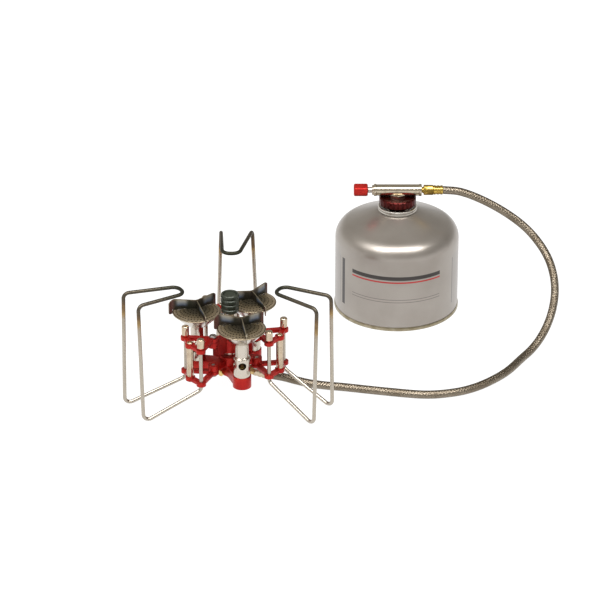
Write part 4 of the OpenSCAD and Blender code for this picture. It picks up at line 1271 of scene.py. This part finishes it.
plate, spacer, cap = leg_plate(), leg_spacer(), leg_cap()
wire_finish = leg_steel("leg_wire_steel")
champagne = plated("champagne_plate", (0.60, 0.49, 0.365), (0.42, 0.325, 0.225), 0.15, "Z")
for leg in LEGS:
    place = leg_place(leg)
    for level, height in (("lower", 24.7), ("upper", 55.3)):
        made = copy_of(plate, f"{leg}_{level}", place @ spot(0, 0, height))
        fit(made, red, f"{leg}_leg_{level}_plate")
    fit(copy_of(spacer, f"{leg}_spacer", place @ spot(SPACER_U, 0, 0)),
        champagne, f"{leg}_leg_spacer")
    caps = [copy_of(cap, f"{leg}_cap_{k}", place @ spot(PIN_U, side * PIN_V, 0))
            for k, side in enumerate((-1, 1))]
    share(caps, champagne, f"{leg}_leg_caps")
    fit(leg_wire(leg), wire_finish, f"{leg}_leg_wire")
for pattern in (plate, spacer, cap):
    bpy.data.objects.remove(pattern)


def pivot_screw(name, head_low, shank_low, shank_high, upright):
    """Pivot screw: its head above the upper plate or below the lower one."""
    shank = turned("shank", [(0, shank_low), (1.5, shank_low), (1.5, shank_high), (0, shank_high)], 32, 0.1)
    head = cross_head("head", 3.0, 2.0, 0)
    seat(head, spot(0, 0, head_low) if upright else spot(0, 0, head_low, 0, 180))
    return join([shank, head], name)


screw_steel = plated("screw_steel", (0.42, 0.41, 0.39), (0.26, 0.24, 0.22), 0.26, "Z")
screws = []
for leg, azimuth in PIVOT_TURNS.items():
    place = spot(*polar(PIVOT_R, azimuth), 0)
    screws += [seat(pivot_screw(f"{leg}_upper_screw", 58.6, 48.5, 58.7, True), place),
               seat(pivot_screw(f"{leg}_lower_screw", 24.4, 24.3, 33.0, False), place)]
share(screws, screw_steel, "pivot_screws")


# ---------------------------------------------------------------- inlet and valve

CAN_X, CAN_Y = (float(v) for v in middle("canister_shell")[:2])
VALVE_Z = float(middle("valve_body")[2])


def valve_place(along=0.0):
    """Place whose Z axis runs along the valve, from the knob towards the hose."""
    return spot(CAN_X + along, CAN_Y, VALVE_Z, 0, 90)


def ferrule(name, length, place):
    third = length / 3
    outline = [(0.8, 0), (3.7, 0), (4.1, 0.4)]
    for k in (1, 2):
        outline += [(4.1, k * third - 0.9), (3.75, k * third - 0.4), (3.75, k * third + 0.4),
                    (4.1, k * third + 0.9)]
    outline += [(4.1, length - 0.5), (3.7, length), (0.8, length), (0.8, 0)]
    return turned(name, outline, 56, 0.15, place)


def hexagon(name, flats, corner, low, high, chamfer, turn, place):
    """Hexagon whose corners are turned off at both ends."""
    piece = prism(6, flats, low, high)
    seat(piece, spot(0, 0, 0, turn))
    lathe = turned("lathe", [(0, low), (corner - chamfer, low), (corner, low + chamfer * 0.8),
                             (corner, high - chamfer * 0.8), (corner - chamfer, high), (0, high)], 64, 0)
    modify(piece, "BOOLEAN", object=lathe, operation="INTERSECT", solver="EXACT")
    bpy.data.objects.remove(lathe)
    piece.name = name
    return seat(break_edges(piece, 0.18, 2), place)


def inlet_nipple():
    nut = hexagon("nut", 6.58, 3.8, 15, 21, 0.5, 0, None)
    thread = turned("thread", [(0, 10), (2.5, 10), (2.5, 15.1), (0, 15.1)], 32, 0)
    return seat(join([nut, thread], "inlet_nipple"), inlet_place(0))


def valve_barrel():
    half = 20.8
    outline = [(0, -half + 0.6), (2.6, -half + 0.6), (4.4, -half), (4.9, -half), (5.35, -half + 0.4),
               (5.35, -half + 2.0), (4.95, -half + 2.5), (4.95, half - 2.5), (5.35, half - 2.0),
               (5.35, half - 0.4), (4.9, half), (2.6, half), (2.5, half - 0.4), (0, half - 0.4)]
    return turned("valve_barrel", outline, 72, 0.15, valve_place())


def gland():
    outline = [(2.55, -22.4), (3.9, -22.4), (4.35, -22.0), (4.35, -20.7), (2.55, -20.7), (2.55, -22.4)]
    return turned("gland", outline, 56, 0.12, valve_place())


def stem():
    outline = [(0, -27.6), (2.45, -27.6), (2.45, -8.8), (0.6, -5.8), (0, -5.8)]
    return turned("stem", outline, 48, 0.1, valve_place())


def knob():
    return hexagon("knob", 10.4, 5.7, -38.2, -26.0, 1.1, 27, valve_place())


def union_nut():
    nut = hexagon("nut", 7.79, 4.5, 22.4, 30.8, 0.55, 0, None)
    neck = turned("neck", [(0, 18.2), (2.5, 18.2), (2.5, 21.6), (3.0, 21.9), (3.0, 22.5), (0, 22.5)],
                  40, 0.1)
    return seat(join([nut, neck], "union_nut"), valve_place())


def adapter():
    """Screw collar with 24 finger grooves."""
    low = low_of("adapter_collar") + 5
    outline = [(5.7, low - 5), (9.05, low - 5), (9.05, low), (15.9, low), (16.1, low + 0.25),
               (16.1, low + 5.6), (15.1, low + 6.6), (2.1, low + 6.6), (2.1, low + 4), (5.7, low + 2),
               (5.7, low - 5)]
    blank = turned("collar", outline, 96, 0.12)
    cuts = [prism(16, 2.2, low - 1, low + 8, *polar(16.6, k * 15)) for k in range(24)]
    return seat(machined("adapter", [blank], cuts, 0.15), spot(CAN_X, CAN_Y, 0))


def boss():
    """Hexagon boss with a saddle for the valve's barrel."""
    low = low_of("adapter_boss")
    blank = prism(6, 12.47, low, low + 2.6)
    groove = seat(prism(72, 9.98, -12, 12), spot(0, 0, VALVE_Z, 0, 90))
    return seat(machined("boss", [blank], [groove], 0.15), spot(CAN_X, CAN_Y, 0))


fitting_brass = plated("fitting_brass", (0.54, 0.37, 0.085), (0.34, 0.21, 0.045), 0.10)
nickel = plated("nickel", (0.53, 0.465, 0.36), (0.36, 0.30, 0.215), 0.11)
steel = plated("stem_steel", (0.56, 0.52, 0.47), (0.38, 0.35, 0.31), 0.16)
tarnished = plated("inlet_brass", (0.66, 0.47, 0.20), (0.42, 0.28, 0.13), 0.2)
ferrule_plate = plated("ferrule_plate", (0.60, 0.50, 0.36), (0.40, 0.31, 0.21), 0.24)
fit(inlet_nipple(), tarnished, "inlet_fitting")
fit(ferrule("inlet_sleeve", 12.0, inlet_place(21)), ferrule_plate, "inlet_ferrule")
fit(valve_barrel(), nickel, "valve_body")
fit(gland(), nickel, "stem_gland")
fit(stem(), steel, "valve_stem")
fit(knob(), red, "valve_knob")
fit(union_nut(), fitting_brass, "hose_fitting")
fit(ferrule("crimp", 8.4, valve_place(30.8)), fitting_brass, "hose_crimp")
fit(adapter(), wine_anodised(), "adapter_collar")
fit(boss(), nickel, "adapter_boss")


# ---------------------------------------------------------------- gas cartridge

def cartridge_shell():
    """Drawn shell: straight side, round shoulder and a slope to the neck."""
    r, side, shoulder, slope, neck, wall = 54.0, 66.0, 16.0, 22.0, 16.2, 0.6
    curve = arc((r - shoulder, side), shoulder, 0, 90 - slope, 23)
    tip = curve[-1]
    neck_z = tip[1] + (tip[0] - neck) * math.tan(math.radians(slope))
    outer = [(r, 3.64), (r, 30), *curve, (neck + 2.2, neck_z - 2.2 * math.tan(math.radians(slope))),
             (neck, neck_z), (neck - 0.9, neck_z)]
    inner = [(neck - 0.9, neck_z - wall), (neck, neck_z - wall), (tip[0], tip[1] - wall),
             (r - wall - 4, side + 11), (r - wall, side), (r - wall, 3.64), (r, 3.64)]
    return turned("cartridge_shell", outer + inner, 160, 0, spot(CAN_X, CAN_Y, 0))


def cartridge_base():
    """Rolled double seam round an upward dome."""
    outline = [(0, 9.0), (32.4, 7.0), (48, 3.4), (51.2, 1.2), (52.2, 0.25), (53.2, 0.0), (54.2, 0.15),
               (54.65, 0.7), (54.7, 1.6), (54.6, 2.8), (54.2, 3.5), (53.4, 3.6), (52.0, 3.55),
               (48, 4.0), (32.4, 7.6), (0, 9.6)]
    return turned("cartridge_base", outline, 160, 0, spot(CAN_X, CAN_Y, 0))


def valve_cup():
    """Crimped ring round the neck, with a rolled lip and its inner well."""
    low = 92.16              # just above the shell's neck
    outline = [(13.7, low - 2.5), (14.1, low - 2.5), (14.1, low), (16.4, low), (16.9, low + 0.35),
               (17.0, low + 1.0), (16.75, low + 1.7), (16.9, low + 2.4), (17.0, low + 3.2),
               (16.8, low + 3.9), (16.3, low + 4.25), (15.6, low + 4.3), (14.6, low + 4.1),
               (14.2, low + 3.4), (13.7, low + 2.6), (13.7, low - 1.9), (5.6, low - 1.9),
               (5.6, low - 2.5), (13.7, low - 2.5)]
    return turned("valve_cup", outline, 112, 0.1, spot(CAN_X, CAN_Y, 0))


fit(cartridge_shell(), cartridge_lacquer(), "canister_shell")
tin = seam_tinplate()
fit(cartridge_base(), tin, "canister_base")
fit(valve_cup(), turned_alloy("cup_tinplate", CAN_X, CAN_Y, (0.62, 0.59, 0.54)), "canister_valve_cup")

repaint(steel, "canister_valve", "pin_depressor", "igniter_spring")
repaint(lead_black, "igniter_body", "stem_seals", "canister_seal")


# ---------------------------------------------------------------- lights and floor

def sun_box(name, azimuth, height, distance, width, depth, watts):
    """Soft light panel that faces the object."""
    aim = Vector((70, 60, 50)) * MM
    a, h = math.radians(azimuth), math.radians(height)
    place = aim + distance * Vector((math.cos(a) * math.cos(h), math.sin(a) * math.cos(h), math.sin(h)))
    turn = (place - aim).to_track_quat("Z", "Y").to_euler()
    bpy.ops.object.light_add(type="AREA", location=place, rotation=turn)
    lamp = bpy.context.object
    lamp.name = name
    lamp.data.shape = "RECTANGLE"
    lamp.data.size, lamp.data.size_y = width, depth
    lamp.data.energy = watts


def light_rays(tree):
    """Whether a ray comes from the camera, from something glossy or through something clear."""
    return [node(tree, "LightPath", output=name)
            for name in ("Is Camera Ray", "Is Glossy Ray", "Is Transmission Ray")]


def bright_room():
    """White where the camera sees it; white low down and grey overhead where metal mirrors it."""
    world = bpy.data.worlds.new("room")
    bpy.context.scene.world = world
    world.use_nodes = True
    tree = world.node_tree
    tree.nodes.clear()
    camera_ray, glossy_ray, transmission_ray = light_rays(tree)
    seen = camera_ray.math("MAXIMUM", transmission_ray)
    direction = node(tree, "TexCoord", output=0)
    side, up = (node(tree, "SeparateXYZ", None, {"Vector": direction}, i) for i in (0, 2))
    mirrored = node(tree, "ValToRGB", {"stops": (
        (0.0, (1, 1, 1)), (0.50, (0.95, 0.94, 0.92)), (0.58, (0.60, 0.585, 0.555)),
        (0.72, (0.33, 0.31, 0.275)), (1.0, (0.50, 0.48, 0.44)))}, {"Fac": up * 0.5 + 0.5})
    mirrored = node(tree, "VectorMath", {"operation": "SCALE"},
                    {0: mirrored, "Scale": 0.95 - side * 0.35})
    shades = node(tree, "Mix", {"data_type": "RGBA"},
                  {0: glossy_ray, 6: (0.42, 0.415, 0.405, 1), 7: mirrored}, output=2)
    final = node(tree, "Mix", {"data_type": "RGBA"}, {0: seen, 6: shades, 7: (1, 1, 1, 1)}, output=2)
    shader = node(tree, "Background", None, {"Color": final, "Strength": 1.0})
    output = tree.nodes.new("ShaderNodeOutputWorld")
    tree.links.new(shader.socket, output.inputs["Surface"])


def white_floor():
    """White ground that keeps a faint soft shadow."""
    deselect()
    bpy.ops.mesh.primitive_plane_add(size=30)
    floor = bpy.context.object
    floor.name = "floor"
    material = bpy.data.materials.new("floor_white")
    material.use_nodes = True
    tree = material.node_tree
    tree.nodes.clear()
    camera_ray, glossy_ray, transmission_ray = light_rays(tree)
    seen = camera_ray.math("MAXIMUM", glossy_ray).math("MAXIMUM", transmission_ray)
    matt = node(tree, "BsdfDiffuse", None, {"Color": (0.86, 0.86, 0.86, 1)})
    glow = node(tree, "Emission", None, {"Color": (1, 1, 1, 1), "Strength": 1.13})
    mixed = node(tree, "MixShader", None, {0: seen * 0.86, 1: matt, 2: glow})
    output = tree.nodes.new("ShaderNodeOutputMaterial")
    tree.links.new(mixed.socket, output.inputs["Surface"])
    floor.data.materials.append(material)


sun_box("shoulder_light", -82, 62, 1.7, 2.3, 0.55, 46)
sun_box("fill_light", -155, 50, 1.8, 1.0, 1.0, 7)
bright_room()
white_floor()

scene = bpy.context.scene
scene.view_settings.view_transform = "Standard"
